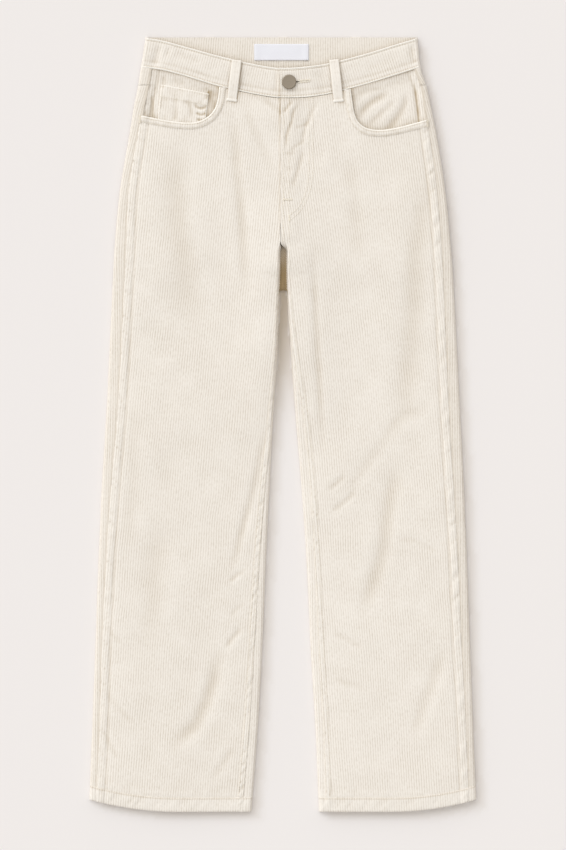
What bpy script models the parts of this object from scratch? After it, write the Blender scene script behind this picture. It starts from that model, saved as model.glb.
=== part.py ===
"""Cream five-pocket corduroy trousers, straight wide legs, laid flat on their back.

The waist points to +Y, the hems to -Y and the front of the garment to +Z. The wearer's right side is at -X.
Tables and functions work in millimetres; meshes are made in metres. Every sewn piece is one object.
"""

import math
from collections import namedtuple

import bmesh
import bpy

MM = 0.001
COLLECTION = "corduroy_trousers"

# Cloth and clearances
CLOTH = 1.5             # corduroy
DOUBLE_CLOTH = 2.6      # corduroy folded double: waistband and hems
LIGHT_CLOTH = 1.2       # facings, coin pocket, pocket edges and fly shield
ZIP_TAPE = 1.0
GAP = 0.3               # between pieces that are sewn together
SEAM = GAP / 2          # each piece stops this far from the seam line
ROUND_SEAM = 0.4        # the same where a seam can lie on a side fold

# The laid garment
LAID_HEIGHT = 6.9       # from the underside to the front face
FOLD_RADIUS = LAID_HEIGHT / 2
QUARTER = math.pi * FOLD_RADIUS / 2      # cloth in a quarter of a side fold
SEAT_LIFT = 1.6         # the seat lies on its back pockets and belt loops
SEAT_LIFT_FROM = 150
SEAT_LIFT_FULL = 235
FRONT_CROTCH = 241
BACK_CROTCH = 184
SIDE = {"right": -1, "left": 1}

# Outline of each half. out is measured from the centre line, outwards. outseam and inseam are lengths of
# cloth from the outermost line of the side fold up onto the front; a negative one is under the leg.
LegRow = namedtuple("LegRow", "y outer outseam inner inseam")
LEG = {
    "right": [
        LegRow(530, 188.5, 16.0, 3.0, -1.5),
        LegRow(488, 195.0, 15.5, 3.0, -1.5),
        LegRow(460, 199.5, 15.5, 3.0, -1.5),
        LegRow(433, 205.0, 15.0, 3.0, -1.5),
        LegRow(404, 209.5, 14.0, 3.0, -1.5),
        LegRow(321, 223.5, 14.0, 3.0, -1.5),
        LegRow(240, 231.0, 18.0, 3.0, -1.5),
        LegRow(184, 234.0, 18.0, 4.5, -1.5),
        LegRow(100, 238.0, 18.0, 7.5, -1.5),
        LegRow(10, 242.5, 17.0, 13.0, 1.0),
        LegRow(-77, 248.0, 15.0, 17.5, 6.7),
        LegRow(-186, 253.0, 12.5, 23.0, 10.0),
        LegRow(-296, 257.0, 11.0, 27.5, 12.0),
        LegRow(-414, 261.5, 12.0, 34.0, 13.0),
        LegRow(-532, 266.5, 12.0, 43.0, 14.0),
    ],
    "left": [
        LegRow(530, 185.0, 9.0, 5.0, -1.5),
        LegRow(488, 189.5, 9.0, 5.0, -1.5),
        LegRow(460, 198.5, 8.6, 5.0, -1.5),
        LegRow(433, 204.0, 10.5, 5.0, -1.5),
        LegRow(404, 210.0, 12.0, 5.0, -1.5),
        LegRow(321, 223.0, 13.5, 5.0, -1.5),
        LegRow(240, 231.0, 15.0, 5.0, -1.5),
        LegRow(184, 235.0, 16.0, 5.8, -1.5),
        LegRow(100, 239.5, 17.0, 10.5, 4.0),
        LegRow(10, 244.0, 17.5, 17.5, 11.5),
        LegRow(-77, 248.5, 16.7, 24.6, 13.4),
        LegRow(-186, 253.0, 14.5, 32.5, 12.3),
        LegRow(-296, 257.0, 13.8, 37.5, 12.4),
        LegRow(-414, 261.5, 12.2, 44.5, 12.0),
        LegRow(-532, 266.5, 12.7, 49.5, 10.5),
    ],
}

# Front of the waistband: its two edges dip to the button.
BandRow = namedtuple("BandRow", "x top bottom")
BAND = [
    BandRow(-192, 530.0, 488.0),
    BandRow(-168, 526.5, 485.0),
    BandRow(-141, 519.5, 478.5),
    BandRow(-86, 504.5, 462.0),
    BandRow(-31, 492.0, 450.0),
    BandRow(3, 488.0, 446.0),
    BandRow(51, 492.5, 449.5),
    BandRow(106, 505.5, 463.0),
    BandRow(160, 522.0, 479.5),
    BandRow(186, 529.5, 488.0),
]
BAND_BACK_TOP = 530.5
BAND_BACK_BOTTOM = 488
BAND_LAP_END = -3.8          # the left end lies over the right one and stops here
BAND_UNDER_END = 32          # the right end runs on under it to here
LAP_RAISE = DOUBLE_CLOTH + GAP
LAP_FLAT_UNTIL = 36
LAP_DOWN_AT = 58

# Hip pocket mouths, from the waistband down and round to the side seam
MouthRow = namedtuple("MouthRow", "out y")
MOUTH = {
    "right": [
        MouthRow(87.3, 462.0),
        MouthRow(89.0, 447.0),
        MouthRow(93.0, 433.0),
        MouthRow(103.0, 421.0),
        MouthRow(120.0, 413.5),
        MouthRow(150.0, 414.5),
        MouthRow(198.0, 423.5),
    ],
    "left": [
        MouthRow(93.5, 459.0),
        MouthRow(95.0, 446.0),
        MouthRow(98.0, 427.0),
        MouthRow(104.0, 413.5),
        MouthRow(118.0, 404.5),
        MouthRow(145.0, 404.0),
        MouthRow(200.0, 417.5),
    ],
}
MOUTH_EDGE_WIDTH = 9.5
FACING_BOTTOM = {"right": 385, "left": 376}
FACING_INNER = 72
FACING_DEPTH_EDGE = CLOTH + 0.4
FACING_DEPTH = 3.4           # how far the pocket facing lies below the front face
FACING_EASE = 14             # over which it sinks from its seams

# Fly, on the centre front
FLY_EDGE = -3.2
FLY_UNDER = 9.3              # the right front runs on under the left one
FLY_RAISE = CLOTH + GAP
FLY_RAISE_FLAT = 10
FLY_RAISE_DOWN = 30
FLY_BOTTOM = 275
FLY_BOTTOM_EASE = 15

# Hems: level over most of the leg, lifting towards the side fold
HEM_LEVEL = -531.5
HEM_LIFT = 17
HEM_LIFT_SHARE = 0.55
HEM_DEPTH = 20

YOKE_SIDE = 463.5
YOKE_CENTRE = 418

SETTLE_PASSES = 8            # repeats that bring a point onto a line whose height changes across the leg

# Largest folds of the front layer: soft troughs along a line of a few points
Crease = namedtuple("Crease", "line width depth")
CREASES = [
    Crease([(-127, 375), (-131, 240), (-120, 130)], 30, 1.1),
    Crease([(-68, 430), (-62, 330), (-52, 184)], 17, 0.9),
    Crease([(-58, -289), (-100, -370), (-154, -449)], 22, 1.2),
    Crease([(208, 360), (177, 197), (150, 0), (99, -275)], 28, 1.2),
    Crease([(18, 240), (36, 110), (54, -35)], 18, 1.0),
]
CREASE_END = 40              # over which a crease runs out

CREAM = (0.80, 0.73, 0.62)
CREAM_INSIDE = (0.74, 0.67, 0.56)
WHITE = (0.90, 0.90, 0.89)
BRUSHED_NICKEL = (0.42, 0.39, 0.36)
ZIP_BRASS = (0.62, 0.52, 0.32)


# ---------------------------------------------------------------- curves and surfaces


def smoothstep(low, high, value):
    t = min(1.0, max(0.0, (value - low) / (high - low)))
    return t * t * (3 - 2 * t)


def mix(a, b, t):
    return a + (b - a) * t


def read_table(rows, key, column, value):
    """Smooth curve through one column of a table, at value of its key column."""
    rows = sorted(rows, key=lambda row: getattr(row, key))
    xs = [getattr(row, key) for row in rows]
    ys = [getattr(row, column) for row in rows]
    last = len(xs) - 1
    i = 0
    while i < last - 1 and value > xs[i + 1]:
        i += 1

    def slope(k):
        a, b = max(0, k - 1), min(last, k + 1)
        return (ys[b] - ys[a]) / (xs[b] - xs[a])

    span = xs[i + 1] - xs[i]
    t = (value - xs[i]) / span
    if t < 0 or t > 1:
        end = i if t < 0 else i + 1
        return ys[end] + slope(end) * (value - xs[end])
    h = 1 - t
    bend = slope(i) * span * h * h * t - slope(i + 1) * span * t * t * h
    return ys[i] * h * h * (1 + 2 * t) + ys[i + 1] * t * t * (3 - 2 * t) + bend


def distance_to_line(x, y, line):
    """Distance to a polyline, and how far along it the nearest point lies."""
    best = (1e9, 0.0)
    run = 0.0
    for (x0, y0), (x1, y1) in zip(line, line[1:]):
        length = math.hypot(x1 - x0, y1 - y0)
        t = ((x - x0) * (x1 - x0) + (y - y0) * (y1 - y0)) / length ** 2
        t = min(1.0, max(0.0, t))
        away = math.hypot(x - mix(x0, x1, t), y - mix(y0, y1, t))
        best = min(best, (away, run + t * length))
        run += length
    return best[0], best[1], run


def crease_depth(x, y):
    depth = 0.0
    for crease in CREASES:
        away, along, length = distance_to_line(x, y, crease.line)
        ends = smoothstep(0, CREASE_END, along) * smoothstep(0, CREASE_END, length - along)
        depth += crease.depth * ends * math.exp(-((away / crease.width) ** 2))
    return depth


def underside(y):
    return SEAT_LIFT * smoothstep(SEAT_LIFT_FROM, SEAT_LIFT_FULL, y)


def front_face(x, y):
    return underside(y) + LAID_HEIGHT - crease_depth(x, y)


def outline(side, column, y):
    return read_table(LEG[side], "y", column, y)


def fold_point(side, edge, inwards, cloth, y):
    """Point at a length of cloth from the outermost line of a side fold; negative lengths are underneath."""
    reach = abs(cloth)
    if reach < QUARTER:
        angle = reach / FOLD_RADIUS
        inset = FOLD_RADIUS * (1 - math.cos(angle))
        rise = FOLD_RADIUS * math.sin(angle)
    else:
        inset = FOLD_RADIUS + reach - QUARTER
        rise = FOLD_RADIUS
    x = SIDE[side] * (edge + inwards * inset)
    middle = underside(y) + FOLD_RADIUS
    if cloth < 0:
        return x, y, middle - rise
    return x, y, middle + rise - crease_depth(x, y) * rise / FOLD_RADIUS


def outseam_out(side, y):
    """Distance of the side seam from the centre line, on the front."""
    return outline(side, "outer", y) - (outline(side, "outseam", y) - QUARTER + FOLD_RADIUS)


def centre_front_out(side, y):
    """Distance of a front's centre edge from the centre line; negative is past it."""
    if side == "left":
        return FLY_EDGE + SEAM
    return -FLY_EDGE + SEAM - (FLY_UNDER + SEAM) * smoothstep(FLY_BOTTOM, FLY_BOTTOM + FLY_BOTTOM_EASE, y)


def fly_raise(side, x, y):
    """The left front lies over the right one along the fly."""
    if side == "right":
        return 0.0
    height = smoothstep(FLY_BOTTOM - 2 * FLY_BOTTOM_EASE, FLY_BOTTOM - FLY_BOTTOM_EASE, y)
    return FLY_RAISE * height * (1 - smoothstep(FLY_RAISE_FLAT, FLY_RAISE_DOWN, x))


def band_bottom(x):
    return read_table(BAND, "x", "bottom", x)


def mouth_y(side, out):
    rows = MOUTH[side]
    if out < rows[0].out:
        return 1e9
    return read_table(rows, "out", "y", out)


def hem_y(side, x):
    """Lower edge of the leg."""
    outer = outline(side, "outer", HEM_LEVEL)
    inner = outline(side, "inner", HEM_LEVEL)
    share = (outer - abs(x)) / (outer - inner)
    return HEM_LEVEL + HEM_LIFT * max(0.0, 1 - share / HEM_LIFT_SHARE) ** 2


# ---------------------------------------------------------------- meshes and materials


def material(name, color, roughness, metallic=0.0):
    found = bpy.data.materials.get(name)
    if found:
        return found
    made = bpy.data.materials.new(name)
    made.use_nodes = True
    shader = made.node_tree.nodes["Principled BSDF"]
    shader.inputs["Base Color"].default_value = (*color, 1.0)
    shader.inputs["Roughness"].default_value = roughness
    shader.inputs["Metallic"].default_value = metallic
    made.diffuse_color = (*color, 1.0)
    return made


def corduroy():
    return material("corduroy", CREAM, 0.9)


def facing_cloth():
    return material("facing_cloth", CREAM_INSIDE, 0.95)


def add_object(name, mesh, surface):
    made = bpy.data.objects.new(name, mesh)
    made.data.materials.append(surface)
    bpy.data.collections[COLLECTION].objects.link(made)
    return made


def sheet(name, grids, wall, surface, flip=False, closed=False):
    """One piece of cloth: grids of points joined where they share edges, with a wall towards the inside."""
    shape = bmesh.new()
    for grid in grids:
        rows = [[shape.verts.new([c * MM for c in point]) for point in row] for row in grid]
        for lower, upper in zip(rows, rows[1:]):
            count = len(lower)
            for i in range(count if closed else count - 1):
                j = (i + 1) % count
                corners = (lower[i], lower[j], upper[j], upper[i])
                shape.faces.new(corners[::-1] if flip else corners)
    bmesh.ops.remove_doubles(shape, verts=shape.verts, dist=1e-6)
    mesh = bpy.data.meshes.new(name)
    shape.to_mesh(mesh)
    shape.free()
    mesh.shade_smooth()
    made = add_object(name, mesh, surface)
    thickness = made.modifiers.new("wall", "SOLIDIFY")
    thickness.thickness = wall * MM
    thickness.offset = -1
    thickness.use_even_offset = True
    return made


def flat_patch(name, outline_points, low, high, surface):
    """A flat outline with a thickness."""
    curve = bpy.data.curves.new(name, "CURVE")
    curve.dimensions = "2D"
    curve.fill_mode = "BOTH"
    curve.extrude = (high - low) / 2 * MM
    line = curve.splines.new("POLY")
    line.points.add(len(outline_points) - 1)
    for point, (x, y) in zip(line.points, outline_points):
        point.co = (x * MM, y * MM, 0, 1)
    line.use_cyclic_u = True
    made = add_object(name, curve, surface)
    made.location.z = (low + high) / 2 * MM
    return made


# ---------------------------------------------------------------- legs and seat


LEG_ROWS = [-455, -385, -310, -230, -150, -70, -20, 30, 80, 130, 176, BACK_CROTCH]
SEAT_ROWS = [225, 233, FRONT_CROTCH, 258, 272, 292, 335, 375]
FRONT_ROWS = LEG_ROWS + SEAT_ROWS
FRONT_TOP_STEPS = 4
INNER_EDGE_STEPS = [12.0, 8.5, 5.5, 3.0, 0.6, 0.0]


def front_point(side, y, share, from_end):
    """share runs over the cloth from the side seam; the last stretch is measured from the inner edge."""
    start = outline(side, "outseam", y) + SEAM
    outer = outline(side, "outer", y)
    if y < FRONT_CROTCH:
        inner = outline(side, "inner", y)
        half = outer - inner - 2 * FOLD_RADIUS + 2 * QUARTER
        length = half - start - outline(side, "inseam", y) - ROUND_SEAM
    else:
        length = outer - FOLD_RADIUS + QUARTER - start - centre_front_out(side, y)
    run = start + (length - from_end if from_end is not None else share * (length - INNER_EDGE_STEPS[0]))
    if y < FRONT_CROTCH and run > half / 2:
        return fold_point(side, inner, 1, half - run, y)
    x, y, z = fold_point(side, outer, -1, run, y)
    return x, y, z + fly_raise(side, x, y)


def front_top(side, x):
    """Upper edge of a front: the pocket mouth, then the waistband."""
    return min(band_bottom(x), mouth_y(side, abs(x))) - SEAM


def make_front(side):
    mouth_rows = MOUTH[side]
    shares = []
    for row in reversed(mouth_rows[:-1]):
        width = outseam_out(side, row.y) - centre_front_out(side, row.y) - INNER_EDGE_STEPS[0]
        shares.append((outseam_out(side, row.y) - row.out) / width)
    last = shares[-1]
    shares = [0.0, shares[0] / 2] + shares + [mix(last, 1.0, t) for t in (0.06, 0.25, 0.5, 0.75)]
    columns = [(share, None) for share in shares] + [(None, step) for step in INNER_EDGE_STEPS]
    grid = []
    bottom_row = []
    for share, from_end in columns:
        y = HEM_LEVEL + HEM_DEPTH
        for _ in range(SETTLE_PASSES):
            y = hem_y(side, front_point(side, y, share, from_end)[0]) + HEM_DEPTH + SEAM
        bottom_row.append(front_point(side, y, share, from_end))
    grid.append(bottom_row)
    for y in FRONT_ROWS:
        grid.append([front_point(side, y, *column) for column in columns])
    for step in range(1, FRONT_TOP_STEPS + 1):
        row = []
        for column in columns:
            y = FRONT_ROWS[-1]
            for _ in range(SETTLE_PASSES):
                top = front_top(side, front_point(side, y, *column)[0])
                y = mix(FRONT_ROWS[-1], top, step / FRONT_TOP_STEPS)
            row.append(front_point(side, y, *column))
        grid.append(row)
    sheet("front_panel_" + side, [grid], CLOTH, corduroy(), flip=side == "left")


BACK_ROWS = LEG_ROWS + [FRONT_CROTCH, 292, 335, 375, 399]
BACK_TOP_STEPS = 3
WRAP_STEPS = 5
SEAT_STEPS = 5
INNER_WRAP_STEPS = 6
INNER_WRAP_LAST = 0.6
YOKE_STEPS = 3
HEM_TOP_STEPS = 8
HEM_ARC_STEPS = 5


def back_point(side, y, column):
    """Columns run from the side seam round the fold, then across the underside."""
    outer = outline(side, "outer", y)
    if column <= WRAP_STEPS:
        cloth = outline(side, "outseam", y) - SEAM
        if column > 0:
            cloth = mix(QUARTER, -QUARTER, (column - 1) / (WRAP_STEPS - 1))
        return fold_point(side, outer, -1, cloth, y)
    inner = SEAM if y >= BACK_CROTCH else outline(side, "inner", y) + FOLD_RADIUS
    out = mix(outer - FOLD_RADIUS, inner, (column - WRAP_STEPS) / SEAT_STEPS)
    return SIDE[side] * out, y, underside(y)


def inner_wrap_point(side, y, column):
    """Columns run from the underside round the inner fold to the inseam."""
    end = outline(side, "inseam", y) - ROUND_SEAM
    cloth = end
    if column < INNER_WRAP_STEPS:
        cloth = mix(-QUARTER, end - INNER_WRAP_LAST, column / (INNER_WRAP_STEPS - 1))
    return fold_point(side, outline(side, "inner", y), 1, cloth, y)


def yoke_seam(side, x, on_front):
    if on_front:
        return YOKE_SIDE
    return mix(YOKE_CENTRE, YOKE_SIDE, abs(x) / outline(side, "outer", YOKE_SIDE))


def curved_row(make_point, side, column, level):
    """Point of a column on a line that is given as a height for each x."""
    y = level(0, False)
    for _ in range(SETTLE_PASSES):
        x, _, z = make_point(side, y, column)
        y = level(x, z > underside(y) + FOLD_RADIUS)
    return make_point(side, y, column)


def make_back(side):
    columns = range(WRAP_STEPS + SEAT_STEPS + 1)

    def hem_line(x, on_front):
        return hem_y(side, x) + HEM_DEPTH + SEAM

    def top_line(x, on_front):
        return yoke_seam(side, x, on_front) - SEAM

    grid = [[curved_row(back_point, side, c, hem_line) for c in columns]]
    for y in BACK_ROWS:
        grid.append([back_point(side, y, c) for c in columns])
    for step in range(1, BACK_TOP_STEPS + 1):
        def line(x, on_front, share=step / BACK_TOP_STEPS):
            return mix(BACK_ROWS[-1], top_line(x, on_front), share)

        grid.append([curved_row(back_point, side, c, line) for c in columns])
    inner_columns = range(INNER_WRAP_STEPS + 1)
    wrap = [[curved_row(inner_wrap_point, side, c, hem_line) for c in inner_columns]]
    for y in LEG_ROWS[:-1]:
        wrap.append([inner_wrap_point(side, y, c) for c in inner_columns])
    grids = [[row[::-1] for row in rows] for rows in (grid, wrap)]
    sheet("back_panel_" + side, grids, CLOTH, corduroy(), flip=side == "left")


def make_yoke(side):
    columns = range(WRAP_STEPS + SEAT_STEPS + 1)

    def band_line(x, on_front):
        return min(band_bottom(x) if on_front else BAND_BACK_BOTTOM, BAND_BACK_BOTTOM) - SEAM

    grid = []
    for step in range(YOKE_STEPS + 1):
        def line(x, on_front, share=step / YOKE_STEPS):
            return mix(yoke_seam(side, x, on_front) + SEAM, band_line(x, on_front), share)

        grid.append([curved_row(back_point, side, c, line) for c in columns][::-1])
    sheet("back_yoke_" + side, [grid], CLOTH, corduroy(), flip=side == "left")


def make_hem(side):
    """A ring of double cloth round the foot of the leg."""

    def ring_point(y, station):
        outer = outline(side, "outer", y)
        inner = outline(side, "inner", y)
        if station < HEM_ARC_STEPS:
            return fold_point(side, outer, -1, mix(-QUARTER, QUARTER, station / HEM_ARC_STEPS), y)
        station -= HEM_ARC_STEPS
        if station < HEM_TOP_STEPS:
            out = mix(outer - FOLD_RADIUS, inner + FOLD_RADIUS, station / HEM_TOP_STEPS)
            x = SIDE[side] * out
            return x, y, front_face(x, y)
        station -= HEM_TOP_STEPS
        if station < HEM_ARC_STEPS:
            return fold_point(side, inner, 1, mix(QUARTER, -QUARTER, station / HEM_ARC_STEPS), y)
        station -= HEM_ARC_STEPS
        out = mix(inner + FOLD_RADIUS, outer - FOLD_RADIUS, station / HEM_TOP_STEPS)
        return SIDE[side] * out, y, underside(y)

    grid = []
    for share in (0.0, 0.5, 1.0):
        row = []
        for station in range(2 * (HEM_TOP_STEPS + HEM_ARC_STEPS)):
            y = HEM_LEVEL
            for _ in range(SETTLE_PASSES):
                y = hem_y(side, ring_point(y, station)[0]) + (HEM_DEPTH - SEAM) * share
            row.append(ring_point(y, station))
        grid.append(row)
    sheet("hem_" + side, [grid], DOUBLE_CLOTH, corduroy(), flip=side == "left", closed=True)


# ---------------------------------------------------------------- waist


def band_edge(side, share):
    """Side fold of the waistband; share runs from its bottom to its top edge."""
    return outline(side, "outer", mix(BAND_BACK_BOTTOM, BAND_BACK_TOP, share))


def lap_raise(x):
    return LAP_RAISE * (1 - smoothstep(LAP_FLAT_UNTIL, LAP_DOWN_AT, x))


def band_front_point(x, share, raised):
    y = mix(read_table(BAND, "x", "bottom", x) + SEAM, read_table(BAND, "x", "top", x), share)
    return x, y, underside(y) + LAID_HEIGHT + (lap_raise(x) if raised else 0.0)


BAND_FRONT_STEPS = 12
BAND_BACK_STEPS = 6
BAND_ARC_STEPS = 4


def make_waistband():
    """One strip: from the right end under the lap, round the back, to the left end on top."""
    grid = []
    for share in (0.0, 0.5, 1.0):
        row = []
        for i in range(BAND_FRONT_STEPS):
            end = -(band_edge("right", share) - FOLD_RADIUS)
            row.append(band_front_point(mix(BAND_UNDER_END, end, i / BAND_FRONT_STEPS), share, False))
        side_y = mix(BAND_BACK_BOTTOM + SEAM, BAND_BACK_TOP, share)
        for i in range(BAND_ARC_STEPS):
            cloth = mix(QUARTER, -QUARTER, i / BAND_ARC_STEPS)
            row.append(fold_point("right", band_edge("right", share), -1, cloth, side_y))
        for i in range(BAND_BACK_STEPS):
            start = -(band_edge("right", share) - FOLD_RADIUS)
            end = band_edge("left", share) - FOLD_RADIUS
            row.append((mix(start, end, i / BAND_BACK_STEPS), side_y, underside(side_y)))
        for i in range(BAND_ARC_STEPS):
            cloth = mix(-QUARTER, QUARTER, i / BAND_ARC_STEPS)
            row.append(fold_point("left", band_edge("left", share), -1, cloth, side_y))
        for i in range(BAND_FRONT_STEPS + 1):
            start = band_edge("left", share) - FOLD_RADIUS
            row.append(band_front_point(mix(start, BAND_LAP_END, i / BAND_FRONT_STEPS), share, True))
        grid.append(row)
    sheet("waistband", [grid], DOUBLE_CLOTH, corduroy(), flip=True)


LoopEnds = namedtuple("LoopEnds", "top bottom")
FRONT_LOOPS = {
    "right": LoopEnds((-63.0, 498.0), (-70.0, 442.0)),
    "left": LoopEnds((70.0, 498.5), (76.0, 441.0)),
}
LOOP_WIDTH = 14
LOOP_CLOTH = 1.6
LOOP_ARCH = 1.6              # room for a belt under the middle of a loop
LOOP_STEPS = 10
BACK_LOOP_OUT = 100
BACK_LOOP_TOP = 531.5
BACK_LOOP_BOTTOM = 474


def make_front_loop(side):
    ends = FRONT_LOOPS[side]
    grid = []
    for i in range(LOOP_STEPS + 1):
        share = i / LOOP_STEPS
        x = mix(ends.bottom[0], ends.top[0], share)
        y = mix(ends.bottom[1], ends.top[1], share)
        height = GAP + LOOP_CLOTH + LOOP_ARCH * math.sin(math.pi * share) ** 2
        row = []
        for across in (-0.5, 0.0, 0.5):
            px = x + across * LOOP_WIDTH
            row.append((px, y, underside(y) + LAID_HEIGHT + height))
        grid.append(row)
    sheet("belt_loop_front_" + side, [grid], LOOP_CLOTH, corduroy())


def make_back_loop(name, x):
    low, high = x - LOOP_WIDTH / 2, x + LOOP_WIDTH / 2
    corners = [(low, BACK_LOOP_BOTTOM), (high, BACK_LOOP_BOTTOM), (high, BACK_LOOP_TOP), (low, BACK_LOOP_TOP)]
    flat_patch(name, corners, 0, SEAT_LIFT - GAP, corduroy())


LABEL_CENTRE = (-1.7, 510.0)
LABEL_SIZE = (75, 22.6)
LABEL_CLOTH = 1.0


def make_label():
    """A plain woven label, sewn inside the back of the waistband."""
    half_x, half_y = LABEL_SIZE[0] / 2, LABEL_SIZE[1] / 2
    cx, cy = LABEL_CENTRE
    corners = [(cx - half_x, cy - half_y), (cx + half_x, cy - half_y),
               (cx + half_x, cy + half_y), (cx - half_x, cy + half_y)]
    low = SEAT_LIFT + DOUBLE_CLOTH + GAP
    flat_patch("woven_label", corners, low, low + LABEL_CLOTH, material("label_cloth", WHITE, 0.8))


BUTTON_CENTRE = (8.6, 468.0)
ButtonRow = namedtuple("ButtonRow", "radius height")
BUTTON_PROFILE = [
    ButtonRow(0.0, 3.0),
    ButtonRow(6.6, 3.0),
    ButtonRow(7.4, 3.3),
    ButtonRow(8.8, 3.3),
    ButtonRow(9.7, 2.9),
    ButtonRow(10.0, 2.2),
    ButtonRow(9.7, 1.5),
    ButtonRow(5.0, 1.0),
    ButtonRow(4.0, 0.0),
    ButtonRow(0.0, 0.0),
]
BUTTON_SIDES = 24


def make_button():
    """A shank button, turned from its profile."""
    shape = bmesh.new()
    line = [shape.verts.new((row.radius * MM, 0, row.height * MM)) for row in BUTTON_PROFILE]
    for start, end in zip(line, line[1:]):
        shape.edges.new((start, end))
    mesh = bpy.data.meshes.new("shank_button")
    shape.to_mesh(mesh)
    shape.free()
    made = add_object("shank_button", mesh, material("button_metal", BRUSHED_NICKEL, 0.45, 1.0))
    turn = made.modifiers.new("turn", "SCREW")
    turn.axis = "Z"
    turn.steps = BUTTON_SIDES
    turn.render_steps = BUTTON_SIDES
    turn.use_merge_vertices = True
    turn.merge_threshold = 0.00001
    x, y = BUTTON_CENTRE
    height = SEAT_LIFT + LAID_HEIGHT + LAP_RAISE + GAP
    made.location = (x * MM, y * MM, height * MM)


# ---------------------------------------------------------------- pockets


def facing_depth(side, x, y):
    """How far the pocket facing lies below the front face: least along its seams."""
    from_side = outseam_out(side, y) - abs(x)
    from_band = band_bottom(x) - y
    sunk = smoothstep(0, FACING_EASE, from_side) * smoothstep(0, FACING_EASE, from_band)
    return FACING_DEPTH_EDGE + (FACING_DEPTH - FACING_DEPTH_EDGE) * sunk


def facing_point(side, across, up):
    y = mix(FACING_BOTTOM[side], BAND_BACK_BOTTOM, up)
    for _ in range(SETTLE_PASSES):
        out = mix(outseam_out(side, y) - SEAM, FACING_INNER, across)
        x = SIDE[side] * out
        y = mix(FACING_BOTTOM[side], band_bottom(x) - SEAM, up)
    return x, y, front_face(x, y) - facing_depth(side, x, y)


FACING_STEPS_ACROSS = 8
FACING_STEPS_UP = 6


def make_facing(side):
    grid = []
    for j in range(FACING_STEPS_UP + 1):
        up = j / FACING_STEPS_UP
        across = [i / FACING_STEPS_ACROSS for i in range(FACING_STEPS_ACROSS + 1)]
        grid.append([facing_point(side, share, up) for share in across])
    sheet("pocket_facing_" + side, [grid], LIGHT_CLOTH, facing_cloth(), flip=side == "left")


MOUTH_EDGE_STEPS = 20


def make_mouth_edge(side):
    """The turned and stitched edge of a pocket mouth, lying on the front."""
    rows = MOUTH[side]
    line = []
    for i in range(MOUTH_EDGE_STEPS + 1):
        place = i / MOUTH_EDGE_STEPS * (len(rows) - 1)
        k = min(int(place), len(rows) - 2)
        out = mix(rows[k].out, rows[k + 1].out, place - k)
        out = min(out, outseam_out(side, rows[-1].y) - SEAM)
        line.append((out, read_table(rows, "out", "y", out)))
    grid = []
    for i, (out, y) in enumerate(line):
        before = line[max(0, i - 1)]
        after = line[min(MOUTH_EDGE_STEPS, i + 1)]
        run_out, run_y = after[0] - before[0], after[1] - before[1]
        length = math.hypot(run_out, run_y)
        row = []
        for share in (0.0, 0.5, 1.0):
            step = SEAM + MOUTH_EDGE_WIDTH * share
            px = SIDE[side] * (out + run_y / length * step)
            py = y - run_out / length * step
            py = min(py, band_bottom(px) - SEAM)
            row.append((px, py, front_face(px, py) + GAP + LIGHT_CLOTH))
        grid.append(row)
    sheet("pocket_edge_" + side, [grid], LIGHT_CLOTH, corduroy(), flip=side == "left")


COIN_TOP = ((166.8, 466.0), (101.0, 453.0))
COIN_BOTTOM = ((172.9, 405.7), (106.5, 405.7))
COIN_STEPS = 5


def make_coin_pocket():
    """A small patch on the right pocket facing; its foot is hidden under the front."""
    grid = []
    for j in range(COIN_STEPS + 1):
        row = []
        for i in range(COIN_STEPS + 1):
            low = [mix(COIN_BOTTOM[0][k], COIN_BOTTOM[1][k], i / COIN_STEPS) for k in (0, 1)]
            high = [mix(COIN_TOP[0][k], COIN_TOP[1][k], i / COIN_STEPS) for k in (0, 1)]
            x = -mix(low[0], high[0], j / COIN_STEPS)
            y = mix(low[1], high[1], j / COIN_STEPS)
            z = front_face(x, y) - facing_depth("right", x, y) + GAP + LIGHT_CLOTH
            row.append((x, y, z))
        grid.append(row)
    sheet("coin_pocket", [grid], LIGHT_CLOTH, corduroy())


BACK_POCKET = [(32, 392), (166, 400), (160, 275), (100, 250), (38, 272)]


def make_back_pocket(side):
    outline_points = [(SIDE[side] * out, y) for out, y in BACK_POCKET]
    flat_patch("back_pocket_" + side, outline_points, 0, SEAT_LIFT - GAP, corduroy())


# ---------------------------------------------------------------- fly


ZIP_RANGE = (-8, 18)
ZIP_BOTTOM = 305
ZIP_TOP = 438
SHIELD_RANGE = (-12, 36)
SHIELD_BOTTOM = 292
SHIELD_TOP = 442
FLY_STEPS_UP = 6
FLY_STEPS_ACROSS = 3
SLIDER_CENTRE = 11.5
SLIDER_PULL = 2.0            # half width of the pull
SLIDER_BODY = 3.5            # half width of the body above it
SLIDER_LOW = 404
SLIDER_NECK = (424, 426)
SLIDER_HIGH = 434


def make_fly_layer(name, x_range, bottom, top, depth, wall, surface):
    """A flat layer under the fly, depth below the front face."""
    grid = []
    for j in range(FLY_STEPS_UP + 1):
        y = mix(bottom, top, j / FLY_STEPS_UP)
        row = []
        for i in range(FLY_STEPS_ACROSS + 1):
            x = mix(x_range[0], x_range[1], i / FLY_STEPS_ACROSS)
            row.append((x, y, front_face(x, y) - depth))
        grid.append(row)
    sheet(name, [grid], wall, surface)


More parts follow.
